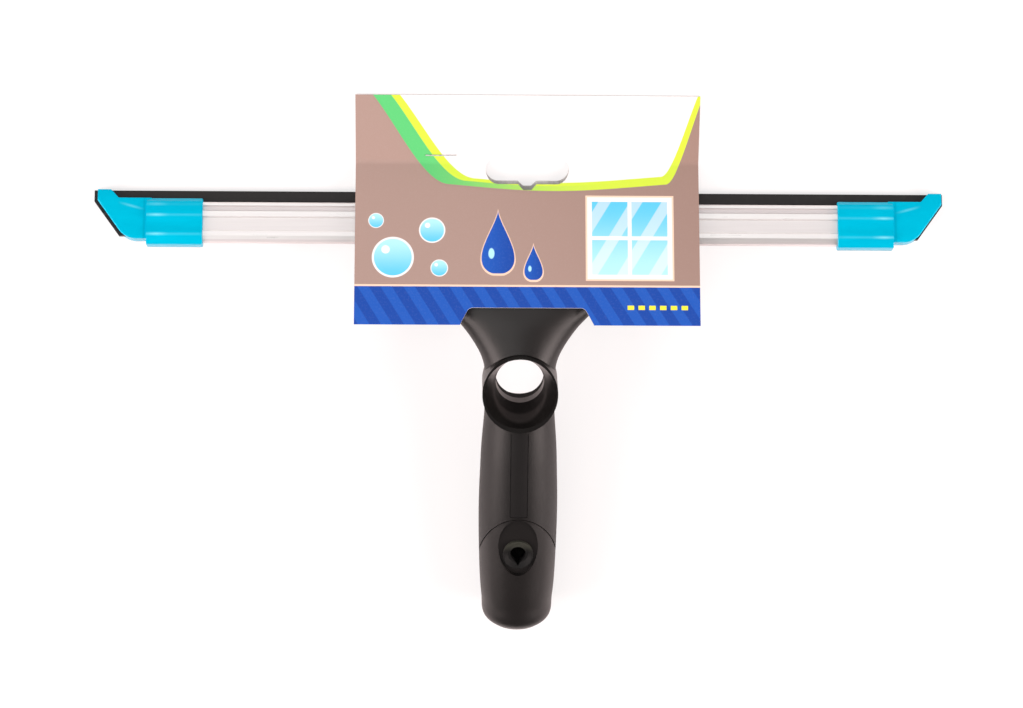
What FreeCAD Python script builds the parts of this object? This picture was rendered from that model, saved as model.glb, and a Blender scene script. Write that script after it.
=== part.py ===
# A window squeegee with a slanting-end rubber, cyan end clips, a black moulded handle and its card sleeve.
# It lies as it does on a shelf: card and tail on the ground, blade sloping down towards +Y.
# +X runs along the blade, +Y points from the tail to the blade's edge, +Z is up. Sizes are millimetres.
import FreeCAD, Part
import math
import os

import Sketcher

Vector = FreeCAD.Vector
X_AXIS = Vector(1, 0, 0)
Z_AXIS = Vector(0, 0, 1)

# Driving sizes. Angles are degrees. "Behind the edge" is measured along the blade from the rubber's edge,
# "rise" and "height" from the blade's middle plane, and "along" from the tail's end along the grip's axis.
SIZES = {
    # How the tool lies
    "blade_tilt": 30.0,
    "grip_slope": 6.8,
    "soft_gap": 0.3,
    "overrun": 30.0,
    # Rubber
    "rubber_length": 350.0,
    "rubber_thickness": 2.0,
    "rubber_depth": 19.0,
    "rubber_nose": 4.6,
    "end_slope": 35.8,
    "rubber_shift": 0.5,
    "bead_back": 9.6,
    "bead_radius": 1.7,
    "rubber_fit": 0.05,
    # Channel: how far it stops short of the rubber's ends, how far behind the edge each line of its section
    # lies, and how far its ribs stand up
    "channel_inset": 22.0,
    "channel_wall": 1.3,
    "lip_front": 5.0,
    "lip_back": 6.5,
    "crown_front": 8.4,
    "crown_back": 11.7,
    "ridge_front": 16.8,
    "ridge_back": 19.2,
    "channel_back": 21.5,
    "lip_rise": 0.55,
    "crown_rise": 0.95,
    "ridge_rise": 0.6,
    "rib_slope": 0.6,
    "back_chamfer": 1.25,
    # End clips
    "clip_length": 23.0,
    "clip_gap": 0.15,
    "clip_wall": 1.3,
    "clip_front": 3.5,
    "clip_shoulder": 1.7,
    "clip_valley": 0.6,
    "clip_slot_gap": 0.25,
    "clip_end_wall": 0.7,
    "wing_thickness": 1.9,
    "wing_inset": 1.1,
    "wing_foot": 20.6,
    "wing_foot_radius": 9.0,
    "wing_tip_width": 5.4,
    "wing_sweep": 3.2,
    "clip_edge_radius": 0.6,
    "wing_clearance": 0.35,
    # Jaw of the head
    "fan_width": 86.0,
    "jaw_width": 88.0,
    "jaw_front": 12.2,
    "jaw_lip_gap": 0.3,
    "jaw_ridge_gap": 0.2,
    "jaw_back_gap": 0.5,
    "jaw_back_wall": 4.5,
    "jaw_top": 5.0,
    "jaw_bottom": 2.6,
    "jaw_nose": 1.2,
    "jaw_corner_radius": 3.0,
    "pad_width": 3.4,
    "pad_inset": 0.7,
    "pad_depth": 1.2,
    "pad_gap": 0.1,
    "upper_pad_length": 82.0,
    "lower_pad_length": 37.0,
    # Head, neck and grip
    "grip_length": 113.6,
    "arch_span": 52.1,
    "neck_width": 29.0,
    "neck_depth": 25.0,
    "grip_width": 33.1,
    "grip_depth": 30.2,
    "tail_width": 29.8,
    "tail_depth": 29.2,
    "dome_reach": 9.0,
    "tail_rim": 0.8,
    "socket_radius": 10.2,
    "socket_depth": 70.0,
    "inner_radius": 12.1,
    "seam_gap": 0.3,
    # Arched edge where the soft grip ends above the lock hole
    "arch_foot": 29.5,
    "arch_rise": 26.0,
    "arch_half_width": 16.35,
    # Ring round the hang hole
    "hang_radius": 10.0,
    "ring_half_width": 15.55,
    "ring_half_length": 16.6,
    "ring_shift": 1.1,
    "ring_floor": 3.0,
    "ring_top": 12.3,
    "ring_top_slope": 7.0,
    "flare_floor": 1.45,
    "flare_depth": 16.0,
    "flare_growth": 7.1,
    "back_flare_floor": 6.3,
    "back_flare_depth": 10.0,
    "back_flare_growth": 4.4,
    # Strip along the grip
    "inlay_width": 7.2,
    "inlay_start": 56.6,
    "inlay_ring_gap": 1.0,
    "inlay_floor": 12.6,
    "inlay_recess": 0.25,
    "inlay_gap": 0.1,
    # Lock hole for a pole's catch
    "lock_along": 38.3,
    "lock_radius": 3.3,
    "lock_point": 5.4,
    "bezel_radius": 6.4,
    "bezel_top": 14.3,
    "bevel_width": 2.1,
    "bevel_depth": 1.3,
    "bezel_gap": 0.05,
    "recess_half_width": 8.3,
    "recess_half_length": 13.3,
    "recess_along": 42.0,
    "recess_floor": 12.9,
    # Clamp lever, its pin and spring
    "lever_width": 40.0,
    "lever_side_gap": 0.3,
    "lever_gap": 0.6,
    "lever_thickness": 2.5,
    "lever_nose": 0.8,
    "pin_back": 31.0,
    "pin_rise": 0.5,
    "pin_radius": 1.5,
    "pin_length": 50.0,
    "pin_fit": 0.05,
    "boss_radius": 3.2,
    "boss_gap": 0.8,
    "tail_back": 50.0,
    "tail_drop": 9.0,
    "tail_root_drop": 3.4,
    "tail_thickness": 3.2,
    "tail_travel": 1.6,
    "spring_along": 43.0,
    "spring_radius": 3.3,
    "spring_bore": 2.5,
    "spring_length": 8.8,
    "spring_seat": 0.8,
    "spring_side_gap": 0.4,
    # Card sleeve
    "card_width": 141.2,
    "card_shift": 2.6,
    "board_thickness": 0.5,
    "header_reach": 41.8,
    "crease_reach": 13.5,
    "fold_reach": 44.9,
    "panel_slope": 31.9889,
    "heel_reach": 20.0,
    "notch_shift": -0.2,
    "notch_depth": 5.9,
    "notch_top_half": 23.6,
    "notch_foot_half": 27.4,
    "back_notch_half": 44.0,
    "back_notch_front": 24.0,
    "back_notch_strip": 3.6,
    "slot_length": 34.3,
    "slot_width": 10.6,
    "slot_reach": 10.8,
    "slot_tab_width": 7.6,
    "slot_tab_depth": 2.1,
    # Staple
    "staple_shift": 32.9,
    "staple_reach": 16.4,
    "staple_crown": 12.7,
    "staple_width": 0.5,
    "staple_height": 0.35,
    "staple_gap": 0.05,
}

# Places that follow from the driving sizes, worked out in the sheet.
DERIVED = {
    "half_rubber": "rubber_thickness / 2",
    "channel_length": "rubber_length - 2 * channel_inset",
    "slot_half": "half_rubber + rubber_fit",
    "flat_height": "slot_half + channel_wall",
    "edge_z": "board_thickness + soft_gap",
    "fan_root_back": "channel_back + jaw_back_gap + jaw_back_wall / 2",
    "fan_root_rise": "(jaw_top - jaw_bottom) / 2",
    "fan_root_y": "-fan_root_back * cos(blade_tilt * 1deg) + (fan_root_rise + half_rubber) * sin(blade_tilt * 1deg)",
    "fan_root_z": "edge_z + fan_root_back * sin(blade_tilt * 1deg)"
    " + (fan_root_rise + half_rubber) * cos(blade_tilt * 1deg)",
    "handle_reach": "arch_span - fan_root_y + grip_length * cos(grip_slope * 1deg)",
    "tail_lean": "tail_depth / tail_width * (socket_radius + tail_rim) * sin(grip_slope * 1deg)",
    "edge_y": "(handle_reach - header_reach + tail_lean) / 2",
    "tail_y": "edge_y - handle_reach",
    "dome_sine": "sqrt(1 - ((socket_radius + tail_rim) / (tail_width / 2)) ^ 2)",
    "dome_length": "dome_reach * dome_sine",
    "tail_z": "tail_depth / 2 * cos(grip_slope * 1deg) - dome_length * sin(grip_slope * 1deg)",
    "hang_y": "tail_y + grip_length * cos(grip_slope * 1deg)",
    "hang_z": "tail_z + grip_length * sin(grip_slope * 1deg)",
    "inlay_length": "grip_length - ring_shift - ring_half_length - inlay_ring_gap - inlay_start",
    "lock_y": "tail_y + lock_along * cos(grip_slope * 1deg)",
    "lock_z": "tail_z + lock_along * sin(grip_slope * 1deg)",
    "panel_rise": "tan(panel_slope * 1deg)",
    "fold_height": "2 * board_thickness + (crease_reach + fold_reach) * panel_rise",
    "back_notch_top": "fold_height - back_notch_strip",
    "clip_inner": "channel_length / 2 + clip_end_wall - clip_length",
    "wing_foot_reach": "rubber_length / 2 - wing_inset - (wing_foot - rubber_nose) * tan(end_slope * 1deg)",
    "clip_top": "flat_height + crown_rise + clip_gap + clip_wall",
    "spring_y": "edge_y - spring_along * cos(blade_tilt * 1deg)"
    " - (tail_root_drop + tail_drop) / 2 * sin(blade_tilt * 1deg)",
    "tail_slope": "atan((tail_drop - tail_root_drop) / (tail_back - pin_back - boss_radius)) / 1deg",
    "spring_z": "edge_z + spring_along * sin(blade_tilt * 1deg) + (half_rubber - tail_root_drop"
    " - (spring_along - pin_back - boss_radius) * tan(tail_slope * 1deg)) * cos(blade_tilt * 1deg) - spring_seat",
}

# Sections of the straight grip from the tail's dome to the hang hole: share of the grip's length,
# then how far the width and the depth have gone from the tail's to the grip's, or from the neck's to the grip's.
TAIL_SWELL_SHARES = [(0.195, 0.62, 0.45), (0.31, 0.88, 0.8), (0.505, 1.0, 1.0)]
NECK_SWELL_SHARES = [(0.69, 0.70, 0.80), (0.79, 0.37, 0.56), (0.875, 0.03, 0.33), (1.0, 0.0, 0.0)]
# Sections of the arched head from the hang hole to the jaw: share of the span, then how far the width has
# gone from the neck's to the fan's, and the depth from the neck's to the jaw's.
FAN_SHARES = [
    (0.11, 0.009, 0.08),
    (0.24, 0.084, 0.20),
    (0.365, 0.225, 0.30),
    (0.493, 0.428, 0.38),
    (0.66, 0.70, 0.58),
    (0.83, 0.905, 0.80),
    (1.0, 1.0, 1.0),
]
DOME_STEPS = 3

doc = FreeCAD.newDocument("WindowSqueegee")
sheet = doc.addObject("Spreadsheet::Sheet", "Sizes")
parts = []


def fill_sheet():
    """Write every driving size and every derived place into the sheet under its own name."""
    row = 1
    for name, number in SIZES.items():
        sheet.set(f"A{row}", name)
        sheet.set(f"B{row}", str(number))
        sheet.setAlias(f"B{row}", name)
        row += 1
    for name, formula in DERIVED.items():
        sheet.set(f"A{row}", name)
        sheet.set(f"B{row}", "=" + formula)
        sheet.setAlias(f"B{row}", name)
        row += 1
    doc.recompute()


def size(formula):
    """The number that a formula on the sheet's names gives."""
    return float(sheet.evalExpression(named(formula)))


def named(formula):
    """The formula with each of the sheet's names written as the sheet's own."""
    words = []
    word = ""
    for letter in formula + " ":
        if letter.isalnum() or letter in "_.":
            word += letter
            continue
        words.append("Sizes." + word if word in SIZES or word in DERIVED else word)
        words.append(letter)
        word = ""
    return "".join(words).strip()


def bind(thing, **formulas):
    """Tie a thing's properties to the sheet; two underscores stand for a dot."""
    for key, formula in formulas.items():
        thing.setExpression(key.replace("__", "."), named(formula))


def place(thing, y, z, angle="0", x="0"):
    """Place a thing in the YZ plane, turned about X, with its place tied to the sheet."""
    thing.Placement = FreeCAD.Placement(Vector(), FreeCAD.Rotation(X_AXIS, 1))
    bind(thing, Placement__Base__x=x, Placement__Base__y=y, Placement__Base__z=z)
    bind(thing, Placement__Rotation__Angle=angle)


def in_blade_frame(thing, x="0"):
    """Place a thing in the blade's frame: Y towards the edge, Z square to the blade's middle plane."""
    lift_y = "edge_y + half_rubber * sin(blade_tilt * 1deg)"
    lift_z = "edge_z + half_rubber * cos(blade_tilt * 1deg)"
    place(thing, lift_y, lift_z, "-blade_tilt", x)


def keep(thing, label):
    """Name a finished sub-part."""
    thing.Label = label
    parts.append(thing)
    return thing


def sketch_on(body, role, name, offset="0"):
    """An empty sketch on one of the body's own origin planes, moved off it by a formula."""
    plane = [f for f in body.Origin.OriginFeatures if f.Role == role][0]
    sketch = body.newObject("Sketcher::SketchObject", name)
    sketch.AttachmentSupport = [(plane, "")]
    sketch.MapMode = "FlatFace"
    bind(sketch, AttachmentOffset__Base__z=offset)
    return sketch


def pin_point(sketch, geometry, position, across, up):
    """Tie one point of a sketch to two formulas."""
    for kind, formula in (("DistanceX", across), ("DistanceY", up)):
        rule = Sketcher.Constraint(kind, -1, 1, geometry, position, size(formula))
        index = sketch.addConstraint(rule)
        sketch.setExpression(f"Constraints[{index}]", named(formula))


def add_polygon(sketch, corners):
    """A closed outline of straight lines, each corner tied to its two formulas."""
    first = sketch.GeometryCount
    places = [Vector(size(across), size(up), 0) for across, up in corners]
    count = len(places)
    for i in range(count):
        sketch.addGeometry(Part.LineSegment(places[i], places[(i + 1) % count]))
    for i in range(count):
        sketch.addConstraint(Sketcher.Constraint("Coincident", first + i, 2, first + (i + 1) % count, 1))
    for i, (across, up) in enumerate(corners):
        pin_point(sketch, first + i, 1, across, up)


def add_circle(sketch, across, up, radius):
    """A circle with its centre and radius tied to formulas."""
    middle = Vector(size(across), size(up), 0)
    geometry = sketch.addGeometry(Part.Circle(middle, Z_AXIS, size(radius)))
    pin_point(sketch, geometry, 3, across, up)
    index = sketch.addConstraint(Sketcher.Constraint("Radius", geometry, size(radius)))
    sketch.setExpression(f"Constraints[{index}]", named(radius))


def new_body(name):
    """An empty body."""
    return doc.addObject("PartDesign::Body", name)


def pad(body, sketch, length, symmetric=True):
    """Pad a sketch by a length, to both sides of its plane alike or away from it."""
    feature = body.newObject("PartDesign::Pad", sketch.Name + "Pad")
    feature.Profile = sketch
    if symmetric:
        feature.SideType = "Symmetric"
    bind(feature, Length=length)
    doc.recompute()
    return feature


def pocket(body, sketch, length):
    """Cut a sketch through the body to both sides of its plane; it has to remove something."""
    before = body.Shape.Volume
    feature = body.newObject("PartDesign::Pocket", sketch.Name + "Pocket")
    feature.Profile = sketch
    feature.SideType = "Symmetric"
    bind(feature, Length=length)
    doc.recompute()
    if body.Shape.Volume > before - 0.001:
        raise ValueError(f"{feature.Name} cuts nothing")
    return feature


def fillet(body, radius, chosen):
    """Round the edges that a test picks."""
    base = body.Tip
    names = [f"Edge{i + 1}" for i, edge in enumerate(base.Shape.Edges) if chosen(edge)]
    feature = body.newObject("PartDesign::Fillet", body.Name + "Fillet")
    feature.Base = (base, names)
    bind(feature, Radius=radius)
    doc.recompute()
    return feature


def profile_body(name, corners, length):
    """A body with one outline in the YZ plane, padded along X to both sides alike."""
    body = new_body(name)
    sketch = sketch_on(body, "YZ_Plane", name + "Outline")
    add_polygon(sketch, corners)
    pad(body, sketch, length)
    return body


def cylinder(name, radius, height, y, z, angle="0", x="0"):
    """A round bar whose axis starts at a place in the YZ plane and is Z turned about X."""
    bar = doc.addObject("Part::Cylinder", name)
    bind(bar, Radius=radius, Height=height)
    place(bar, y, z, angle, x)
    return bar


def boolean(kind, name, base, tool):
    """The cut or the common of two things."""
    result = doc.addObject("Part::" + kind, name)
    result.Base = base
    result.Tool = tool
    doc.recompute()
    return result


def fuse(name, shapes):
    """The union of several things."""
    result = doc.addObject("Part::MultiFuse", name)
    result.Shapes = shapes
    doc.recompute()
    return result


def channel_corners(grow="0"):
    """The channel's outer outline, grown by a gap, from its front lip round the top and back below."""
    upper = [
        (f"-lip_front + {grow}", f"slot_half + {grow}"),
        (f"-lip_front + {grow}", f"flat_height + lip_rise - rib_slope + {grow}"),
        ("-lip_front - rib_slope", f"flat_height + lip_rise + {grow}"),
        (f"-lip_back - {grow}", f"flat_height + lip_rise + {grow}"),
        (f"-lip_back - rib_slope - {grow}", f"flat_height + {grow}"),
        (f"-crown_front + {grow}", f"flat_height + {grow}"),
        (f"-crown_front - rib_slope + {grow}", f"flat_height + crown_rise + {grow}"),
        (f"-crown_back + rib_slope - {grow}", f"flat_height + crown_rise + {grow}"),
        (f"-crown_back - {grow}", f"flat_height + {grow}"),
        (f"-ridge_front + {grow}", f"flat_height + {grow}"),
        (f"-ridge_front - rib_slope + {grow}", f"flat_height + ridge_rise + {grow}"),
        (f"-ridge_back - {grow}", f"flat_height + ridge_rise + {grow}"),
        (f"-channel_back - {grow}", f"flat_height + ridge_rise - back_chamfer + {grow}"),
    ]
    lower = [(across, f"-({up})") for across, up in reversed(upper)]
    return upper + lower


def slot_corners(half, front, back):
    """A slot about the blade's middle plane."""
    return [(f"-({front})", half), (f"-({front})", f"-({half})"), (f"-({back})", f"-({half})"), (f"-({back})", half)]


def make_channel():
    """The aluminium channel: a ribbed bar with a slot and a round pocket for the rubber's bead."""
    body = profile_body("Channel", channel_corners(), "channel_length")
    slot = sketch_on(body, "YZ_Plane", "RubberSlot")
    add_polygon(slot, slot_corners("slot_half", "0", "rubber_depth + rubber_fit"))
    pocket(body, slot, "channel_length + overrun")
    bead = sketch_on(body, "YZ_Plane", "BeadPocket")
    add_circle(bead, "-bead_back", "0", "bead_radius + rubber_fit")
    pocket(body, bead, "channel_length + overrun")
    in_blade_frame(body)
    keep(body, "channel")


def make_rubber():
    """The rubber strip with its bead, slanting at both ends."""
    body = profile_body("Rubber", slot_corners("half_rubber", "0", "rubber_depth"), "rubber_length")
    bead = sketch_on(body, "YZ_Plane", "Bead")
    add_circle(bead, "-bead_back", "0", "bead_radius")
    pad(body, bead, "rubber_length")
    ends = sketch_on(body, "XY_Plane", "SlantingEnds")
    for side in ("", "-"):
        corners = [
            (f"{side}(rubber_length / 2)", "-rubber_nose"),
            (f"{side}(rubber_length / 2 - overrun * tan(end_slope * 1deg))", "-rubber_nose - overrun"),
            (f"{side}(rubber_length / 2)", "-rubber_nose - overrun"),
        ]
        add_polygon(ends, corners)
    pocket(body, ends, "overrun")
    in_blade_frame(body, "-rubber_shift")
    keep(body, "rubber_blade")


def clip_corners():
    """The end clip's sleeve outside: it follows the channel's crown and ridge at a wall's distance."""
    upper = [
        ("-clip_front", "slot_half + clip_slot_gap"),
        ("-clip_front", "clip_top - clip_shoulder - clip_valley"),
        ("-clip_front - clip_shoulder", "clip_top - clip_valley"),
        ("-crown_front - rib_slope", "clip_top"),
        ("-crown_back + rib_slope", "clip_top"),
        ("-crown_back - clip_shoulder", "clip_top - clip_valley"),
        ("-ridge_front + rib_slope", "clip_top - clip_valley"),
        ("-ridge_front - rib_slope", "clip_top - clip_valley / 2"),
        ("-ridge_back", "clip_top - clip_valley / 2"),
        ("-channel_back - clip_gap - clip_wall", "clip_top - clip_valley - back_chamfer"),
    ]
    lower = [(across, f"-({up})") for across, up in reversed(upper)]
    return upper + lower


def wing_corners():
    """The clip's wing seen from above: a foot beside the sleeve, a slanting outer edge and a tip."""
    tip = "rubber_length / 2 - wing_inset"
    start = "channel_length / 2 - clip_wall"
    return [
        (start, "-wing_foot"),
        ("wing_foot_reach", "-wing_foot"),
        (tip, "-rubber_nose"),
        (tip, "0"),
        (f"{tip} - wing_tip_width", "0"),
        (f"{tip} - wing_tip_width - wing_sweep", "-clip_front"),
        (start, "-clip_front"),
    ]


def make_clips():
    """The right end clip: a sleeve over the channel's end and a wing over the rubber's; the left is its mirror."""
    body = new_body("ClipRight")
    sleeve = sketch_on(body, "YZ_Plane", "ClipSleeve", "clip_inner")
    add_polygon(sleeve, clip_corners())
    pad(body, sleeve, "clip_length", symmetric=False)
    wing = sketch_on(body, "XY_Plane", "ClipWing")
    add_polygon(wing, wing_corners())
    pad(body, wing, "2 * (slot_half + clip_slot_gap + wing_thickness)")
    fillet(body, "wing_foot_radius", wing_foot_edge)
    fillet(body, "clip_edge_radius", outer_clip_edge)
    bore = sketch_on(body, "YZ_Plane", "ClipBore", "clip_inner")
    add_polygon(bore, channel_corners("clip_gap"))
    pocket(body, bore, "2 * (clip_length - clip_end_wall)")
    slot = sketch_on(body, "YZ_Plane", "ClipSlot", "channel_length / 2")
    add_polygon(slot, slot_corners("slot_half + clip_slot_gap", "-overrun", "rubber_depth + clip_slot_gap"))
    pocket(body, slot, "rubber_length")
    bead = sketch_on(body, "YZ_Plane", "ClipBead", "channel_length / 2")
    add_circle(bead, "-bead_back", "0", "bead_radius + clip_slot_gap")
    pocket(body, bead, "rubber_length")
    under = sketch_on(body, "YZ_Plane", "ClipUnderside", "channel_length / 2")
    low = "(edge_z + half_rubber * cos(blade_tilt * 1deg) - wing_clearance)"
    add_polygon(
        under,
        [
            ("0", f"-{low} / cos(blade_tilt * 1deg)"),
            (f"-{low} / sin(blade_tilt * 1deg) * 4", f"-{low} / cos(blade_tilt * 1deg) * 5"),
            ("overrun", f"-{low} / cos(blade_tilt * 1deg) * 5"),
            ("overrun", f"-{low} / cos(blade_tilt * 1deg) + overrun * tan(blade_tilt * 1deg)"),
        ],
    )
    pocket(body, under, "rubber_length")
    in_blade_frame(body)
    keep(body, "end_clip_right")
    mirror = doc.addObject("Part::Mirroring", "ClipLeft")
    mirror.Source = body
    mirror.Normal = X_AXIS
    keep(mirror, "end_clip_left")


def wing_foot_edge(edge):
    """True for the upright edge where the wing's slanting side meets its foot."""
    box = edge.BoundBox
    upright = box.XLength < 0.001 and box.YLength < 0.001
    return upright and abs(box.XMin - size("wing_foot_reach")) < 0.001


def outer_clip_edge(edge):
    """True for the edges round the sleeve's open end and for the long edges of the wing's slanting side."""
    box = edge.BoundBox
    open_end = box.XLength < 0.001 and abs(box.XMin - size("clip_inner")) < 0.001
    slant = box.ZLength < 0.001 and box.XLength > size("clip_edge_radius") and box.YLength > size("clip_length / 2")
    return open_end or (slant and box.XMax > size("rubber_length / 2 - 2 * wing_inset"))


def jaw_corners():
    """The jaw's section: a hooked top plate over the channel and the wall behind it."""
    hook = "flat_height + jaw_lip_gap"
    relief = "flat_height + ridge_rise + jaw_ridge_gap"
    back = "channel_back + jaw_back_gap"
    return [
        ("-jaw_front", hook),
        ("-ridge_front", hook),
        ("-ridge_front", relief),
        ("-ridge_back - jaw_back_gap", relief),
        (f"-({back})", f"{relief} - back_chamfer"),
        (f"-({back})", "-jaw_bottom"),
        (f"-({back}) - jaw_back_wall", "-jaw_bottom"),
        (f"-({back}) - jaw_back_wall", "jaw_top"),
        ("-jaw_front - jaw_nose", "jaw_top"),
        ("-jaw_front", "jaw_top - jaw_nose"),
    ]


def pad_corners(side):
    """One jaw pad's section, above the channel or below it."""
    near = f"{side}(flat_height + pad_gap)"
    far = f"{side}(flat_height + pad_gap + pad_depth)"
    front = "-jaw_front - pad_inset"
    return [(front, near), (f"{front} - pad_width", near), (f"{front} - pad_width", far), (front, far)]


def make_jaw():
    """The jaw block of the head, and the pad in its roof."""
    body = profile_body("Jaw", jaw_corners(), "jaw_width")
    fillet(body, "jaw_corner_radius", upright_corner)
    groove = sketch_on(body, "YZ_Plane", "UpperPadGroove")
    add_polygon(groove, pad_corners(""))
    pocket(body, groove, "upper_pad_length")
    in_blade_frame(body)
    pad_body = profile_body("UpperPad", pad_corners(""), "upper_pad_length")
    in_blade_frame(pad_body)
    keep(pad_body, "jaw_pad_upper")
    return body


def upright_corner(edge):
    """True for the two outer upright edges at the jaw's back."""
    box = edge.BoundBox
    square = box.XLength < 0.001 and box.YLength < 0.001
    return square and abs(box.YMin + size("channel_back + jaw_back_gap + jaw_back_wall")) < 0.001


def ring_wire(centre, tangent_angle, half_width, half_depth):
    """One oval section, square to the handle's middle line."""
    oval = Part.Ellipse(Vector(), half_width, half_depth)
    wire = Part.Wire([oval.toShape()])
    turn = FreeCAD.Rotation(X_AXIS, 90 + tangent_angle)
    wire.Placement = FreeCAD.Placement(centre, turn)
    return wire


def grip_section(along, width, depth, grow):
    """A section of the straight grip at a distance from the tail's end."""
    slope = math.radians(size("grip_slope"))
    centre = Vector(0, size("tail_y") + along * math.cos(slope), size("tail_z") + along * math.sin(slope))
    return ring_wire(centre, math.degrees(slope), width / 2 + grow, depth / 2 + grow)


def fan_section(share, width, depth, grow):
    """A section of the arched head; its middle line is a cubic from the hang hole to the jaw's back."""
    span = size("arch_span")
    start_slope = math.tan(math.radians(size("grip_slope"))) * span
    end_slope = -math.tan(math.radians(size("blade_tilt"))) * span
    start, end = size("hang_z"), size("fan_root_z")
    cubic = (2 * share**3 - 3 * share**2 + 1) * start + (share**3 - 2 * share**2 + share) * start_slope
    cubic += (3 * share**2 - 2 * share**3) * end + (share**3 - share**2) * end_slope
    rate = (6 * share**2 - 6 * share) * (start - end) + (3 * share**2 - 4 * share + 1) * start_slope
    rate += (3 * share**2 - 2 * share) * end_slope
    centre = Vector(0, size("hang_y") + share * span, cubic)
    angle = math.degrees(math.atan2(rate, span))
    return ring_wire(centre, angle, width / 2 + grow, depth / 2 + grow)


def skin_shape(grow):
    """The handle's outer skin: oval sections from the domed tail through grip and neck to the jaw, all grown."""
    wires = []
    dome_end = math.asin(size("dome_sine"))
    for step in range(DOME_STEPS + 1):
        angle = dome_end * (DOME_STEPS - step) / DOME_STEPS
        along = size("dome_reach") * (math.sin(dome_end) - math.sin(angle))
        narrow = math.cos(angle)
        wires.append(grip_section(along, size("tail_width") * narrow, size("tail_depth") * narrow, grow))
    length = size("grip_length")
    for along, wide, deep in TAIL_SWELL_SHARES:
        width = size("tail_width") + (size("grip_width") - size("tail_width")) * wide
        depth = size("tail_depth") + (size("grip_depth") - size("tail_depth")) * deep
        wires.append(grip_section(length * along, width, depth, grow))
    for along, wide, deep in NECK_SWELL_SHARES:
        width = size("neck_width") + (size("grip_width") - size("neck_width")) * wide
        depth = size("neck_depth") + (size("grip_depth") - size("neck_depth")) * deep
        wires.append(grip_section(length * along, width, depth, grow))
    jaw_depth = size("jaw_top + jaw_bottom")
    for share, wide, deep in FAN_SHARES:
        width = size("neck_width") + (size("fan_width") - size("neck_width")) * wide
        depth = size("neck_depth") + (jaw_depth - size("neck_depth")) * deep
        wires.append(fan_section(share, width, depth, grow))
    return Part.makeLoft(wires, True)


def skin(name, grow):
    """A feature that holds the skin grown by a size."""
    feature = doc.addObject("Part::Feature", name)
    feature.Shape = skin_shape(size(grow))
    return feature


def grip_cylinder(name, radius, start, length):
    """A bar along the grip's axis from a distance before or after the tail's end."""
    y = f"tail_y + ({start}) * cos(grip_slope * 1deg)"
    z = f"tail_z + ({start}) * sin(grip_slope * 1deg)"
    return cylinder(name, radius, length, y, z, "grip_slope - 90")


def grip_post(name, radius, along, start, height):
    """A bar square to the grip's axis, from a height above the axis upwards."""
    y = f"tail_y + ({along}) * cos(grip_slope * 1deg) - ({start}) * sin(grip_slope * 1deg)"
    z = f"tail_z + ({along}) * sin(grip_slope * 1deg) + ({start}) * cos(grip_slope * 1deg)"
    return cylinder(name, radius, height, y, z, "grip_slope")


def grip_box(name, width, along, length, start, height):
    """A box on the grip's axis: its width across, its length along, its height above the axis."""
    box = doc.addObject("Part::Box", name)
    bind(box, Length=width, Width=length, Height=height)
    y = f"tail_y + ({along}) * cos(grip_slope * 1deg) - ({start}) * sin(grip_slope * 1deg)"
    z = f"tail_z + ({along}) * sin(grip_slope * 1deg) + ({start}) * cos(grip_slope * 1deg)"
    place(box, y, z, "grip_slope", f"-({width}) / 2")
    return box


def oval_post(name, half_length, half_width, along, start, height):
    """An oval prism square to the grip's axis, longer along the grip than across it."""
    oval = doc.addObject("Part::Ellipse", name + "Oval")
    bind(oval, MajorRadius=half_length, MinorRadius=half_width)
    slope = FreeCAD.Rotation(X_AXIS, size("grip_slope"))
    lift = slope.multVec(Vector(0, size(along), size(start)))
    turned = slope.multiply(FreeCAD.Rotation(Z_AXIS, 90))
    oval.Placement = FreeCAD.Placement(Vector(0, size("tail_y"), size("tail_z")) + lift, turned)
    post = doc.addObject("Part::Extrusion", name)
    post.Base = oval
    post.DirMode = "Normal"
    post.Solid = True
    bind(post, LengthFwd=height)
    doc.recompute()
    return post


def ring_post(name, gap, start, height):
    """The collar's oval as a prism: longer towards the tail than across."""
    along = "grip_length - ring_shift"
    return oval_post(name, f"ring_half_length + {gap}", f"ring_half_width + {gap}", along, start, height)


def sleeve_zone(name, gap):
    """The stretch of the grip under the soft skin: above the arch, outside the ring."""
    length = f"grip_length - arch_foot - {gap}"
    stretch = grip_box(name + "Box", "grip_width * 2", f"arch_foot + {gap}", length, "-overrun", "2 * overrun")
    rise = f"arch_rise + {gap}"
    arch = oval_post(name + "Arch", rise, f"arch_half_width + {gap}", "arch_foot", "-" + gap, "overrun")
    ring = ring_post(name + "Ring", gap, "-overrun", "2 * overrun")
    return boolean("Cut", name, stretch, fuse(name + "Tools", [arch, ring]))


def make_grip(outer):
    """The soft grip skin and the strip along its middle."""
    zone = boolean("Common", "SleeveBlank", outer, sleeve_zone("SleeveZone", "seam_gap"))
    inner = grip_cylinder("InnerSpace", "inner_radius + bezel_gap", "-overrun", "grip_length + overrun")
    strip_width = "inlay_width + 2 * inlay_gap"
    strip_length = "inlay_length + 2 * inlay_gap"
    groove = grip_box(
        "InlayGroove", strip_width, "inlay_start - inlay_gap", strip_length, "inlay_floor - inlay_gap", "overrun"
    )
    hollow = fuse("SleeveHollow", [inner, groove])
    keep(boolean("Cut", "Sleeve", zone, hollow), "grip_sleeve")
    lowered = skin("InlaySkin", "-inlay_recess")
    strip = grip_box("InlayBox", "inlay_width", "inlay_start", "inlay_length", "inlay_floor", "overrun")
    keep(boolean("Common", "Inlay", lowered, strip), "grip_inlay")


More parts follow.
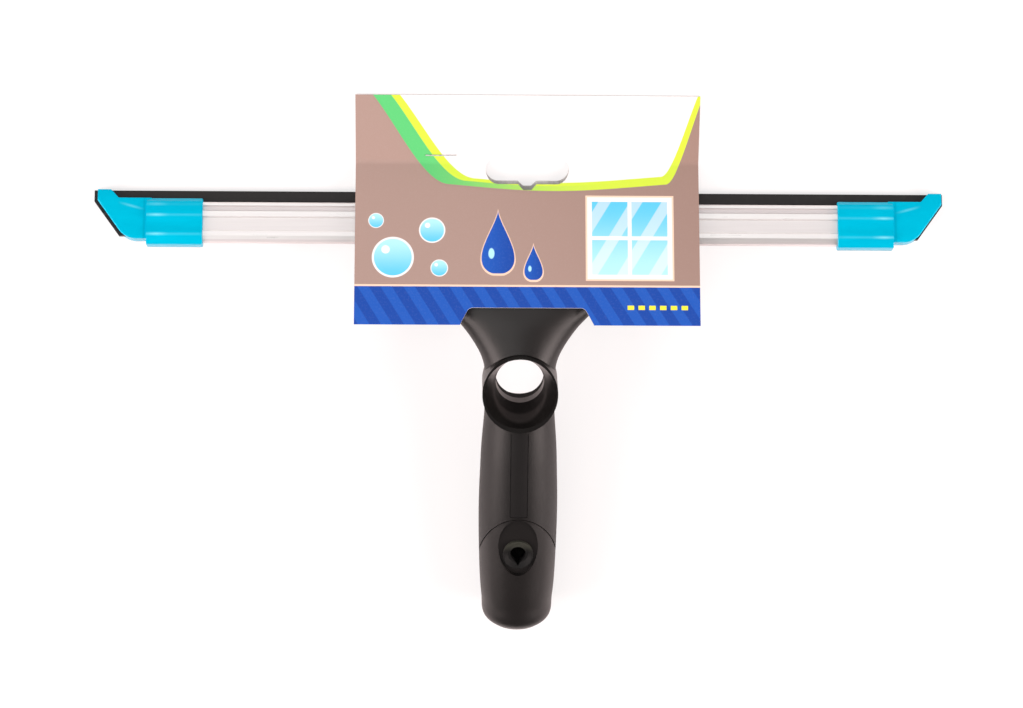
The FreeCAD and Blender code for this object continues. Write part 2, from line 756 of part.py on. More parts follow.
def ring_lid():
    """The space above the collar: its lower face rises towards the tail."""
    lid = doc.addObject("Part::Box", "RingLid")
    bind(lid, Length="4 * ring_half_width", Width="4 * ring_half_length", Height="overrun")
    angle = "(grip_slope - ring_top_slope)"
    y = f"hang_y - ring_top * sin(grip_slope * 1deg) - 2 * ring_half_length * cos({angle} * 1deg)"
    z = f"hang_z + ring_top * cos(grip_slope * 1deg) - 2 * ring_half_length * sin({angle} * 1deg)"
    place(lid, y, z, angle, "-2 * ring_half_width")
    return lid


def hang_cone(name, floor, depth, growth, side):
    """A cone that widens the hang hole from a distance in front of the grip's axis, or behind it, outwards."""
    cone = doc.addObject("Part::Cone", name)
    bind(cone, Radius1="hang_radius", Radius2=f"hang_radius + {growth}", Height=depth)
    y = f"hang_y - {side}{floor} * sin(grip_slope * 1deg)"
    z = f"hang_z + {side}{floor} * cos(grip_slope * 1deg)"
    place(cone, y, z, "grip_slope" if side == "" else "grip_slope + 180")
    return cone


def make_ring():
    """The collar set in the neck's front, standing proud of it and flared towards the thumb."""
    blank = ring_post("RingBlank", "0", "-ring_floor", "overrun")
    body = boolean("Cut", "RingBody", blank, ring_lid())
    bore = grip_post("RingBore", "hang_radius", "grip_length", "-overrun", "2 * overrun")
    flare = hang_cone("RingFlare", "flare_floor", "flare_depth", "flare_growth", "")
    keep(boolean("Cut", "Ring", body, fuse("RingHollow", [bore, flare])), "neck_ring")


def drop_prism(name, gap):
    """The drop-shaped lock hole as a solid: a round bar and a wedge that points to the tail."""
    bar = grip_post(name + "Bar", f"lock_radius + {gap}", "lock_along", "socket_radius / 2", "overrun")
    wedge = new_body(name + "Wedge")
    outline = sketch_on(wedge, "XY_Plane", name + "Outline")
    half = "lock_radius * sqrt(1 - (lock_radius / lock_point) ^ 2)"
    drop = "lock_radius * lock_radius / lock_point"
    add_polygon(outline, [(half, f"-({drop})"), (f"-({half})", f"-({drop})"), ("0", "-lock_point")])
    pad(wedge, outline, "2 * overrun")
    place(wedge, "lock_y", "lock_z", "grip_slope")
    above = grip_box(name + "Above", "grip_width", "0", "grip_length", "0", "overrun")
    return fuse(name, [bar, boolean("Common", name + "Point", wedge, above)])


def make_bezel(outer, bore):
    """The bevelled ring that lines the lock hole."""
    blank = grip_post("BezelBlank", "bezel_radius", "lock_along", "0", "bezel_top")
    bevel = doc.addObject("Part::Cone", "BezelBevel")
    bind(bevel, Radius1="bezel_radius - bevel_width - bezel_gap", Radius2="bezel_radius", Height="bevel_depth")
    y = "lock_y - (bezel_top - bevel_depth + bezel_gap) * sin(grip_slope * 1deg)"
    z = "lock_z + (bezel_top - bevel_depth + bezel_gap) * cos(grip_slope * 1deg)"
    place(bevel, y, z, "grip_slope")
    hollow = fuse("BezelHollow", [drop_prism("LockDrop", "0"), bevel, bore])
    body = boolean("Cut", "BezelCut", blank, hollow)
    keep(boolean("Common", "Bezel", body, outer), "lock_bezel")


def make_lever(jaw_tools):
    """The clamp lever under the head, its pad, its pin and its spring; adds what they cut from the head."""
    top = "-(flat_height + ridge_rise + jaw_ridge_gap)"
    bottom = f"{top} - lever_thickness"
    hook = "-(flat_height + jaw_lip_gap)"
    root = "-pin_back - boss_radius"
    corners = [
        ("-jaw_front", hook),
        ("-ridge_front", hook),
        ("-ridge_front", top),
        ("-pin_back + boss_radius + lever_gap", top),
        ("-pin_back + boss_radius", "pin_rise"),
        (root, "pin_rise"),
        (root, "-tail_root_drop"),
        ("-tail_back", "-tail_drop"),
        ("-tail_back - lever_nose / 2", "-tail_drop - lever_nose"),
        ("-tail_back + lever_nose", "-tail_drop - tail_thickness"),
        (f"{root} - boss_radius", "-tail_root_drop - tail_thickness - lever_nose"),
        (root, bottom),
        ("-ridge_back", bottom),
        ("-jaw_front - lever_nose", f"{hook} - pad_depth - lever_nose"),
        ("-jaw_front", f"{hook} - pad_depth"),
    ]
    body = profile_body("Lever", corners, "lever_width")
    boss = sketch_on(body, "YZ_Plane", "LeverBoss")
    add_circle(boss, "-pin_back", "pin_rise", "boss_radius")
    pad(body, boss, "lever_width")
    hole = sketch_on(body, "YZ_Plane", "LeverPinHole")
    add_circle(hole, "-pin_back", "pin_rise", "pin_radius + pin_fit")
    pocket(body, hole, "lever_width + overrun")
    groove = sketch_on(body, "YZ_Plane", "LowerPadGroove")
    add_polygon(groove, pad_corners("-"))
    pocket(body, groove, "lower_pad_length")
    in_blade_frame(body)
    seat = cylinder("LeverSeat", "spring_radius + spring_side_gap", "spring_length", "spring_y", "spring_z")
    keep(boolean("Cut", "LeverCut", body, seat), "clamp_lever")

    pad_body = profile_body("LowerPad", pad_corners("-"), "lower_pad_length")
    in_blade_frame(pad_body)
    keep(pad_body, "jaw_pad_lower")

    pin = new_body("Pin")
    round_pin = sketch_on(pin, "YZ_Plane", "PinRound")
    add_circle(round_pin, "-pin_back", "pin_rise", "pin_radius")
    pad(pin, round_pin, "pin_length")
    in_blade_frame(pin)
    keep(pin, "lever_pin")

    coil = cylinder("SpringOuter", "spring_radius", "spring_length", "spring_y", "spring_z + pad_gap / 2")
    core = cylinder("SpringInner", "spring_bore", "spring_length + overrun", "spring_y", "spring_z - pad_gap")
    keep(boolean("Cut", "Spring", coil, core), "lever_spring")

    roof = "pin_rise + boss_radius + boss_gap"
    space = [
        ("-channel_back - jaw_back_gap - lever_gap", "-overrun"),
        ("-channel_back - jaw_back_gap - lever_gap", f"{top} + lever_gap"),
        ("-pin_back + boss_radius + boss_gap", f"{top} + lever_gap"),
        ("-pin_back + boss_radius + boss_gap", roof),
        ("-pin_back - boss_radius - boss_gap", roof),
        ("-pin_back - boss_radius - boss_gap", "-tail_root_drop + tail_travel"),
        ("-tail_back - 2 * lever_nose", "-tail_drop + 2 * tail_travel"),
        ("-tail_back - 2 * lever_nose", "-overrun"),
    ]
    cavity = profile_body("LeverSpace", space, "lever_width + 2 * lever_side_gap")
    in_blade_frame(cavity)
    pin_hole = new_body("PinSpace")
    round_hole = sketch_on(pin_hole, "YZ_Plane", "PinSpaceRound")
    add_circle(round_hole, "-pin_back", "pin_rise", "pin_radius")
    pad(pin_hole, round_hole, "pin_length")
    in_blade_frame(pin_hole)
    well = cylinder(
        "SpringWell", "spring_radius + spring_side_gap", "spring_length + pad_gap", "spring_y", "spring_z"
    )
    jaw_tools += [cavity, pin_hole, well]


def make_core(outer, jaw, tools):
    """The hard moulding: head, neck and tail, with the soft grip's stretch turned down to a tube."""
    kept = grip_cylinder("InnerCore", "inner_radius", "0", "grip_length")
    removed = boolean("Cut", "SoftStretch", sleeve_zone("CoreZone", "0"), kept)
    ring = ring_post("RingPocket", "0", "-ring_floor", "overrun")
    bore = grip_post("HangBore", "hang_radius", "grip_length", "-overrun", "2 * overrun")
    flare = hang_cone("BackFlare", "back_flare_floor", "back_flare_depth", "back_flare_growth", "-")
    hole = fuse("HangHole", [bore, flare])
    recess = oval_post(
        "Recess", "recess_half_length", "recess_half_width", "recess_along", "recess_floor", "overrun"
    )
    bezel = grip_post("BezelPocket", "bezel_radius + bezel_gap", "lock_along", "0", "overrun")
    blank = fuse("CoreBlank", [outer, jaw])
    body = boolean("Cut", "Core", blank, fuse("CoreTools", [removed, ring, hole, recess, bezel] + tools))
    keep(body, "handle_core")


def make_card():
    """The card sleeve: header flat on the ground, sides round the blade, a fold with a notch for the handle."""
    wall = "board_thickness * sqrt(1 + panel_rise ^ 2)"
    back = "(fold_height - board_thickness) / (fold_reach - heel_reach)"
    back_wall = f"board_thickness * sqrt(1 + ({back}) ^ 2) / ({back})"
    body = new_body("Card")
    outline = sketch_on(body, "YZ_Plane", "CardOutline")
    add_polygon(
        outline,
        [
            ("header_reach", "0"),
            ("header_reach", "2 * board_thickness"),
            ("crease_reach", "2 * board_thickness"),
            ("-fold_reach", "fold_height"),
            ("-fold_reach - board_thickness", "fold_height - board_thickness"),
            ("-heel_reach", "0"),
        ],
    )
    add_polygon(
        outline,
        [
            (f"crease_reach - (({wall}) - board_thickness) / panel_rise", "board_thickness"),
            ("-heel_reach + board_thickness", "board_thickness"),
            (f"-fold_reach + ({back_wall})", f"fold_height - ({wall}) + ({back_wall}) * -panel_rise"),
        ],
    )
    pad(body, outline, "card_width")

    notch = sketch_on(body, "XY_Plane", "CardNotch", "fold_height - board_thickness")
    middle = "notch_shift"
    add_polygon(
        notch,
        [
            (f"{middle} - notch_foot_half", "-fold_reach - 2 * board_thickness"),
            (f"{middle} + notch_foot_half", "-fold_reach - 2 * board_thickness"),
            (f"{middle} + notch_top_half", "-fold_reach + notch_depth"),
            (f"{middle} - notch_top_half", "-fold_reach + notch_depth"),
        ],
    )
    pocket(body, notch, "2 * (notch_depth * panel_rise + 2 * board_thickness)")

    behind = sketch_on(body, "YZ_Plane", "CardBackNotch", "notch_shift")
    add_polygon(
        behind,
        [
            ("-fold_reach - overrun", "-overrun"),
            ("-back_notch_front", "-overrun"),
            ("-back_notch_front", f"(back_notch_front - heel_reach) * ({back}) + 4 * board_thickness"),
            (f"-heel_reach - (back_notch_top - 4 * board_thickness) / ({back})", "back_notch_top"),
            ("-fold_reach - overrun", "back_notch_top"),
        ],
    )
    pocket(body, behind, "2 * back_notch_half")

    slot = sketch_on(body, "XY_Plane", "HangSlot")
    straight = "(slot_length - slot_width) / 2"
    tab = "slot_tab_width / 2"
    add_polygon(
        slot,
        [
            (f"-({straight})", "slot_reach + slot_width / 2"),
            (f"-({straight})", "slot_reach - slot_width / 2"),
            (f"-({tab})", "slot_reach - slot_width / 2"),
            (f"-({tab}) + slot_tab_depth", "slot_reach - slot_width / 2 - slot_tab_depth"),
            (f"{tab} - slot_tab_depth", "slot_reach - slot_width / 2 - slot_tab_depth"),
            (tab, "slot_reach - slot_width / 2"),
            (straight, "slot_reach - slot_width / 2"),
            (straight, "slot_reach + slot_width / 2"),
        ],
    )
    pocket(body, slot, "overrun")
    for side in ("-", ""):
        end = sketch_on(body, "XY_Plane", "SlotEnd")
        add_circle(end, f"{side}({straight})", "slot_reach", "slot_width / 2")
        pocket(body, end, "overrun")

    for side in ("-", ""):
        hole = sketch_on(body, "XY_Plane", "StapleHole")
        middle = f"-staple_shift - card_shift {side or '+'} (staple_crown - staple_width) / 2"
        half = "(staple_width / 2 + staple_gap)"
        corners = [
            (f"{middle} - {half}", f"staple_reach - {half}"),
            (f"{middle} + {half}", f"staple_reach - {half}"),
            (f"{middle} + {half}", f"staple_reach + {half}"),
            (f"{middle} - {half}", f"staple_reach + {half}"),
        ]
        add_polygon(hole, corners)
        pocket(body, hole, "overrun")
    place(body, "edge_y", "0", "0", "card_shift")
    keep(body, "card_sleeve")


def make_staple():
    """The staple: a crown on the header with two legs through both layers."""
    body = new_body("Staple")
    outline = sketch_on(body, "XZ_Plane", "StapleOutline", "-staple_reach")
    half = "staple_crown / 2"
    top = "2 * board_thickness + staple_height"
    add_polygon(
        outline,
        [
            (f"-{half}", top),
            (f"-{half}", "staple_gap"),
            (f"-{half} + staple_width", "staple_gap"),
            (f"-{half} + staple_width", "2 * board_thickness"),
            (f"{half} - staple_width", "2 * board_thickness"),
            (f"{half} - staple_width", "staple_gap"),
            (half, "staple_gap"),
            (half, top),
        ],
    )
    pad(body, outline, "staple_width")
    place(body, "edge_y", "0", "0", "-staple_shift")
    keep(body, "card_staple")


def check():
    """Stop when any object failed or any sub-part is empty or broken."""
    doc.recompute()
    for thing in doc.Objects:
        if "Invalid" in thing.State or "Error" in thing.State:
            raise ValueError(f"{thing.Name} failed: {thing.State}")
    for thing in parts:
        if thing.Shape.isNull() or not thing.Shape.isValid():
            raise ValueError(f"{thing.Label} has no sound shape")


def main():
    """Build the squeegee and write one file for each sub-part."""
    fill_sheet()
    make_channel()
    make_rubber()
    make_clips()
    outer = skin("Skin", "0")
    tools = []
    jaw = make_jaw()
    make_lever(tools)
    bore = grip_cylinder("SocketBore", "socket_radius", "-overrun", "socket_depth + overrun")
    make_bezel(outer, bore)
    make_core(outer, jaw, tools + [bore])
    make_grip(outer)
    make_ring()
    make_card()
    make_staple()
    check()
    os.makedirs("parts", exist_ok=True)
    for thing in parts:
        thing.Shape.exportStep(f"parts/{thing.Label}.step")
        box = thing.Shape.BoundBox
        print(f"{thing.Label}: {len(thing.Shape.Solids)} solid, {thing.Shape.Volume:.0f} mm3, {box}")


main()
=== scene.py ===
"""A window squeegee with cyan end clips, a black handle and a folded card sleeve, dressed round its frame.

Every length is in metres, in the frame's own axes: X along the blade, Y to the blade's edge, Z up.
"""

from __future__ import annotations

import logging
import math
from dataclasses import dataclass, field, replace
from enum import Enum
from typing import Any, Sequence, Union

import bmesh
import bpy
import numpy as np
from mathutils import Matrix, Vector
from mathutils.geometry import delaunay_2d_cdt

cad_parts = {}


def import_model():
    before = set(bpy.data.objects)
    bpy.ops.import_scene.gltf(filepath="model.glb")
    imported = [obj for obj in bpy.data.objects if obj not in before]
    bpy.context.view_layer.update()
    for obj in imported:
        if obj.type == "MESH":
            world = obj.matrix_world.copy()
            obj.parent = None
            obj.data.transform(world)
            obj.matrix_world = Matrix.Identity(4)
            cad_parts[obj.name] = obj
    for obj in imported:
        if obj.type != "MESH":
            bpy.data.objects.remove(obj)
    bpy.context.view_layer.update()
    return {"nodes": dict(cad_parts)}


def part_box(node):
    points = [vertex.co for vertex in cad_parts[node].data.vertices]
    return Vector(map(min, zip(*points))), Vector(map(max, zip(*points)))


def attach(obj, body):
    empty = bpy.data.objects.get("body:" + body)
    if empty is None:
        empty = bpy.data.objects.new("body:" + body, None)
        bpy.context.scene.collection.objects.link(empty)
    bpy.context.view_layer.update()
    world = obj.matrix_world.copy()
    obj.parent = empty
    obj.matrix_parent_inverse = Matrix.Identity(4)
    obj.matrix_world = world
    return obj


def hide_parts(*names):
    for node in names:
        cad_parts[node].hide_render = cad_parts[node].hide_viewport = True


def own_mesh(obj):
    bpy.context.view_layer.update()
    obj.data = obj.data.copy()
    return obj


LOG = logging.getLogger("squeegee")
MM = 0.001
# Degrees from the Y axis: the grip climbs towards the head, and the blade climbs back from its edge.
GRIP_SLOPE = 6.8
BLADE_SLOPE = 150.0
SMOOTH_ANGLE = 50.0
NOISE_MIDDLE = 0.5
INK_EDGE = 0.12
GLINT_EDGE = 0.2
Colour = tuple[float, float, float]
Place = tuple[float, float, float]
Range = tuple[float, float]
Number = Union[float, "Value"]


class Side(Enum):
    """An end of the blade, by the sign of its X."""

    LEFT = -1.0
    RIGHT = 1.0


class Ink(Enum):
    """The card's printing inks."""

    WHITE = (0.84, 0.84, 0.845)
    GROUND = (0.375, 0.262, 0.226)
    GROUND_DARK = (0.32, 0.212, 0.178)
    LIME = (0.60, 0.78, 0.05)
    GREEN = (0.10, 0.55, 0.17)
    SKY = (0.10, 0.56, 0.82)
    SKY_PALE = (0.42, 0.80, 0.93)
    DEEP = (0.001, 0.055, 0.36)
    STRIPE = (0.007, 0.095, 0.49)
    PEACH = (0.86, 0.63, 0.48)
    YELLOW = (0.83, 0.80, 0.05)


class Value:
    """A number that varies over a surface. Sums, products and comparisons of it add Math nodes."""

    def __init__(self, shader: "Shader", socket: bpy.types.NodeSocket) -> None:
        """Wrap a socket.

        Args:
            shader: the tree that the socket belongs to.
            socket: the output that carries the number.
        """
        self.shader = shader
        self.socket = socket

    def __add__(self, other: Number) -> "Value":
        """Sum."""
        return self.shader.math("ADD", self, other)

    __radd__ = __add__

    def __sub__(self, other: Number) -> "Value":
        """Difference."""
        return self.shader.math("SUBTRACT", self, other)

    def __rsub__(self, other: Number) -> "Value":
        """Difference, turned round."""
        return self.shader.math("SUBTRACT", other, self)

    def __mul__(self, other: Number) -> "Value":
        """Product."""
        return self.shader.math("MULTIPLY", self, other)

    __rmul__ = __mul__

    def __truediv__(self, other: Number) -> "Value":
        """Quotient."""
        return self.shader.math("DIVIDE", self, other)

    def __rtruediv__(self, other: Number) -> "Value":
        """Quotient, turned round."""
        return self.shader.math("DIVIDE", other, self)

    def __abs__(self) -> "Value":
        """The number without its sign."""
        return self.shader.math("ABSOLUTE", self)

    def root(self) -> "Value":
        """Square root, nothing below zero."""
        return self.shader.math("SQRT", self.most(0.0))

    def wave(self) -> "Value":
        """Sine."""
        return self.shader.math("SINE", self)

    def part(self) -> "Value":
        """What is left after whole numbers are taken off."""
        return self.shader.math("FRACT", self)

    def most(self, other: Number) -> "Value":
        """The larger of two."""
        return self.shader.math("MAXIMUM", self, other)

    def least(self, other: Number) -> "Value":
        """The smaller of two."""
        return self.shader.math("MINIMUM", self, other)

    def reach(self, other: "Value") -> "Value":
        """The root of this number squared and another squared."""
        return (self * self + other * other).root()

    def sway(self, amount: float) -> "Value":
        """How far a noise lies from its middle, times an amount."""
        return (self - NOISE_MIDDLE) * amount

    def rise(self, low: float, high: float) -> "Value":
        """A smooth step.

        Args:
            low: where the step starts, at nothing.
            high: where the step ends, at one.

        Returns:
            A value from 0 to 1.
        """
        settings = {"interpolation_type": "SMOOTHSTEP"}
        inputs = {0: self, 1: low, 2: high, 3: 0.0, 4: 1.0}
        return Value(self.shader, self.shader.node("ShaderNodeMapRange", settings, inputs).outputs[0])

    def inside(self, edge: Number, soft: float) -> "Value":
        """One where this is below an edge, nothing above it, with a soft line between.

        Args:
            edge: the number that the edge lies at.
            soft: half the width of the line.

        Returns:
            A mask from 0 to 1.
        """
        return 1.0 - (self - edge).rise(-soft, soft)


@dataclass(frozen=True)
class Cloud:
    """A noise: its clouds to the metre, its finer layers, how strong they are and how it is stretched."""

    scale: float
    detail: float = 2.0
    rough: float = 0.6
    stretch: Place = (1.0, 1.0, 1.0)


@dataclass(frozen=True)
class Band:
    """A stripe: where its middle lies, half its width, how soft its edges are and how strong it is."""

    middle: float
    half: float
    soft: float
    share: float = 1.0

    def mask(self, place: Value) -> Value:
        """The stripe's strength at a place."""
        return abs(place - self.middle).inside(self.half, self.soft) * self.share


@dataclass(frozen=True)
class Slope:
    """A line in the YZ plane, by its start and its degrees from Y, that a finish counts its places along."""

    y: float
    z: float
    degrees: float

    def along(self, y: Value, z: Value) -> Value:
        """How far along the line a place lies."""
        angle = math.radians(self.degrees)
        return (y - self.y) * math.cos(angle) + (z - self.z) * math.sin(angle)


class Shader:
    """The node tree of a material or of the world, and the few ways in which this script adds to it."""

    def __init__(self, owner: Union[bpy.types.Material, bpy.types.World]) -> None:
        """Empty the owner's tree.

        Args:
            owner: the material or world that the tree belongs to.
        """
        owner.use_nodes = True
        self.owner = owner
        self.tree = owner.node_tree
        self.tree.nodes.clear()

    def node(self, kind: str, settings: dict[str, Any], values: dict[Any, Any]) -> bpy.types.Node:
        """Add a node: its settings first, then the numbers, colours or links of its inputs.

        Args:
            kind: the node's type name.
            settings: its properties by name.
            values: input by index or name, to a number, a colour, an Ink, a Value or a socket.

        Returns:
            The node.
        """
        made = self.tree.nodes.new(kind)
        for key, setting in settings.items():
            setattr(made, key, setting)
        for key, given in values.items():
            target = made.inputs[key]
            value = given.value if isinstance(given, Ink) else given
            if isinstance(value, Value):
                self.tree.links.new(value.socket, target)
            elif isinstance(value, bpy.types.NodeSocket):
                self.tree.links.new(value, target)
            elif isinstance(value, tuple) and target.type == "RGBA":
                target.default_value = (*value, 1.0)
            else:
                target.default_value = value
        return made

    def math(self, operation: str, *numbers: Number) -> Value:
        """Add a Math node.

        Args:
            operation: the node's operation.
            numbers: its inputs in order.

        Returns:
            Its result.
        """
        made = self.node("ShaderNodeMath", {"operation": operation}, dict(enumerate(numbers)))
        return Value(self, made.outputs[0])

    def place(self) -> bpy.types.NodeSocket:
        """The point on the object, in metres."""
        return self.node("ShaderNodeTexCoord", {}, {}).outputs["Object"]

    def split(self, vector: bpy.types.NodeSocket) -> tuple[Value, Value, Value]:
        """A vector's three numbers."""
        made = self.node("ShaderNodeSeparateXYZ", {}, {0: vector})
        return Value(self, made.outputs[0]), Value(self, made.outputs[1]), Value(self, made.outputs[2])

    def noise(self, place: bpy.types.NodeSocket, cloud: Cloud) -> Value:
        """Cloudy noise about one half.

        Args:
            place: where it is read.
            cloud: how it looks.

        Returns:
            A value mostly between 0.3 and 0.7.
        """
        scaled = self.node("ShaderNodeVectorMath", {"operation": "MULTIPLY"}, {0: place, 1: cloud.stretch})
        values = {
            "Vector": scaled.outputs[0],
            "Scale": cloud.scale,
            "Detail": cloud.detail,
            "Roughness": cloud.rough,
        }
        return Value(self, self.node("ShaderNodeTexNoise", {}, values).outputs["Fac"])

    def blend(self, share: Number, first: Any, second: Any) -> bpy.types.NodeSocket:
        """One colour going into another.

        Args:
            share: 0 for the first colour, 1 for the second.
            first: a colour, an Ink or a colour socket.
            second: a colour, an Ink or a colour socket.

        Returns:
            The mixed colour.
        """
        settings = {"data_type": "RGBA", "blend_type": "MIX"}
        return self.node("ShaderNodeMix", settings, {0: share, 6: first, 7: second}).outputs[2]

    def bump(self, height: Value, depth: float) -> bpy.types.NodeSocket:
        """The normal of a relief that is so many metres deep from 0 to 1."""
        values = {"Distance": depth, "Height": height, "Strength": 1.0}
        return self.node("ShaderNodeBump", {}, values).outputs[0]

    def surface(self, **inputs: Any) -> bpy.types.Material:
        """Close the tree with a Principled surface.

        Args:
            inputs: its sockets by name, with _ for a space.

        Returns:
            The finished material.
        """
        values = {key.replace("_", " "): value for key, value in inputs.items()}
        shader = self.node("ShaderNodeBsdfPrincipled", {}, values)
        self.node("ShaderNodeOutputMaterial", {}, {0: shader.outputs[0]})
        return self.owner


@dataclass(frozen=True)
class Finish:
    """What every finish has: a name, and a method that makes its material."""

    name: str

    def start(self) -> tuple[Shader, bpy.types.NodeSocket]:
        """An empty tree under the finish's name, and the point on the object."""
        shader = Shader(bpy.data.materials.new(self.name))
        return shader, shader.place()

    def material(self) -> bpy.types.Material:
        """Build the material; each finish has its own way."""
        raise NotImplementedError


@dataclass(frozen=True)
class Bore:
    """The wall of a round hole, which is rougher than the plastic round it and darkened with painted shade.
    """

    axis: Slope
    radius: float = 11.2 * MM
    soft: float = 0.2 * MM
    roughness: float = 0.5
    # share of painted shade on the hole's wall
    painted_shade: float = 0.7

    def mask(self, shader: Shader, place: bpy.types.NodeSocket) -> Value:
        """One within the hole's radius of its axis, nothing beyond it."""
        x, y, z = shader.split(place)
        return x.reach(self.axis.along(y, z)).inside(self.radius, self.soft)


@dataclass(frozen=True)
class MouldedPlastic(Finish):
    """Moulded plastic with a spark-eroded grain, faint clouding from the mould and, if any, a rougher bore
    darkened with painted shade.
    """

    dark: Colour
    light: Colour
    roughness: float
    specular: float = 0.42
    grain: Cloud = Cloud(2600.0)
    grain_depth: float = 0.00002
    grain_sway: float = 0.12
    flow: Cloud = Cloud(26.0, 3.0, 0.55)
    flow_range: Range = (0.3, 0.72)
    flow_sway: float = 0.16
    bore: Bore | None = None
    bore_shade: Colour = (0.0, 0.0, 0.0)

    def material(self) -> bpy.types.Material:
        """Build it.

        Returns:
            The material.
        """
        shader, place = self.start()
        flow = shader.noise(place, self.flow)
        grain = shader.noise(place, self.grain)
        colour = shader.blend(flow.rise(*self.flow_range), self.dark, self.light)
        roughness = self.roughness + flow.sway(self.flow_sway) + grain.sway(self.grain_sway)
        if self.bore is not None:
            near = self.bore.mask(shader, place)
            roughness = roughness + near * self.bore.roughness
            # painted shade in the bore
            colour = shader.blend(near * self.bore.painted_shade, colour, self.bore_shade)
        return shader.surface(
            Base_Color=colour,
            Roughness=roughness,
            Normal=shader.bump(grain, self.grain_depth),
            Specular_IOR_Level=self.specular,
        )


@dataclass(frozen=True)
class CollarPlastic(Finish):
    """The collar's plastic: a glossy rim round an oval, in which the funnel's wall is duller and painted
    paler as the light it catches, save at the throat, which keeps the rim's dark colour as painted shade.

    A place is counted from the hole's axis: x across, and along the grip towards the head.
    """

    axis: Slope
    rim: Colour = (0.005, 0.0043, 0.004)
    # painted light: the funnel's wall is paler than the rim
    wall: Colour = (0.021, 0.0175, 0.017)
    half_width: float = 11.2 * MM
    half_length: float = 12.6 * MM
    oval_soft: float = 0.04
    shift: float = 0.5 * MM
    throat: float = 10.6 * MM
    throat_soft: float = 0.3 * MM
    throat_shade_share: float = 0.8
    roughness: float = 0.3
    wall_roughness: float = 0.14
    cloud: Cloud = Cloud(60.0, 3.0, 0.55)
    cloud_sway: float = 0.1
    grain: Cloud = Cloud(2600.0)
    grain_depth: float = 0.00001
    specular: float = 0.4

    def material(self) -> bpy.types.Material:
        """Build it.

        Returns:
            The material.
        """
        shader, place = self.start()
        x, y, z = shader.split(place)
        along = self.axis.along(y, z) + self.shift
        throat = x.reach(along).inside(self.throat, self.throat_soft)
        oval = (x / self.half_width).reach(along / self.half_length).inside(1.0, self.oval_soft)
        # the throat keeps the rim's dark colour as painted shade; the rest of the oval is painted lighter
        inner = oval * (1.0 - throat * self.throat_shade_share)
        cloud = shader.noise(place, self.cloud)
        return shader.surface(
            Base_Color=shader.blend(inner, self.rim, self.wall),
            Roughness=self.roughness + inner * self.wall_roughness + cloud.sway(self.cloud_sway),
            Normal=shader.bump(shader.noise(place, self.grain), self.grain_depth),
            Specular_IOR_Level=self.specular,
        )


@dataclass(frozen=True)
class BezelPlastic(Finish):
    """The bezel's plastic: nearly black, with a painted olive highlight on the head's side that fades out
    towards the tail.
    """

    low_y: float
    high_y: float
    # painted highlight colour, on the head's side
    painted_highlight: Colour = (0.04, 0.041, 0.033)
    dark: Colour = (0.004, 0.004, 0.004)
    highlight_shares: Range = (0.55, 0.85)
    roughness: float = 0.62
    highlight_smoothing: float = 0.24
    grain: Cloud = Cloud(2600.0)
    grain_depth: float = 0.00001
    grain_sway: float = 0.1
    specular: float = 0.22

    def material(self) -> bpy.types.Material:
        """Build it.

        Returns:
            The material.
        """
        shader, place = self.start()
        _, y, _ = shader.split(place)
        grain = shader.noise(place, self.grain)
        start, end = (self.low_y + share * (self.high_y - self.low_y) for share in self.highlight_shares)
        # painted highlight, rising along Y towards the head's side
        painted_highlight = y.rise(start, end)
        return shader.surface(
            Base_Color=shader.blend(painted_highlight, self.dark, self.painted_highlight),
            Roughness=self.roughness - painted_highlight * self.highlight_smoothing + grain.sway(self.grain_sway),
            Normal=shader.bump(grain, self.grain_depth),
            Specular_IOR_Level=self.specular,
        )


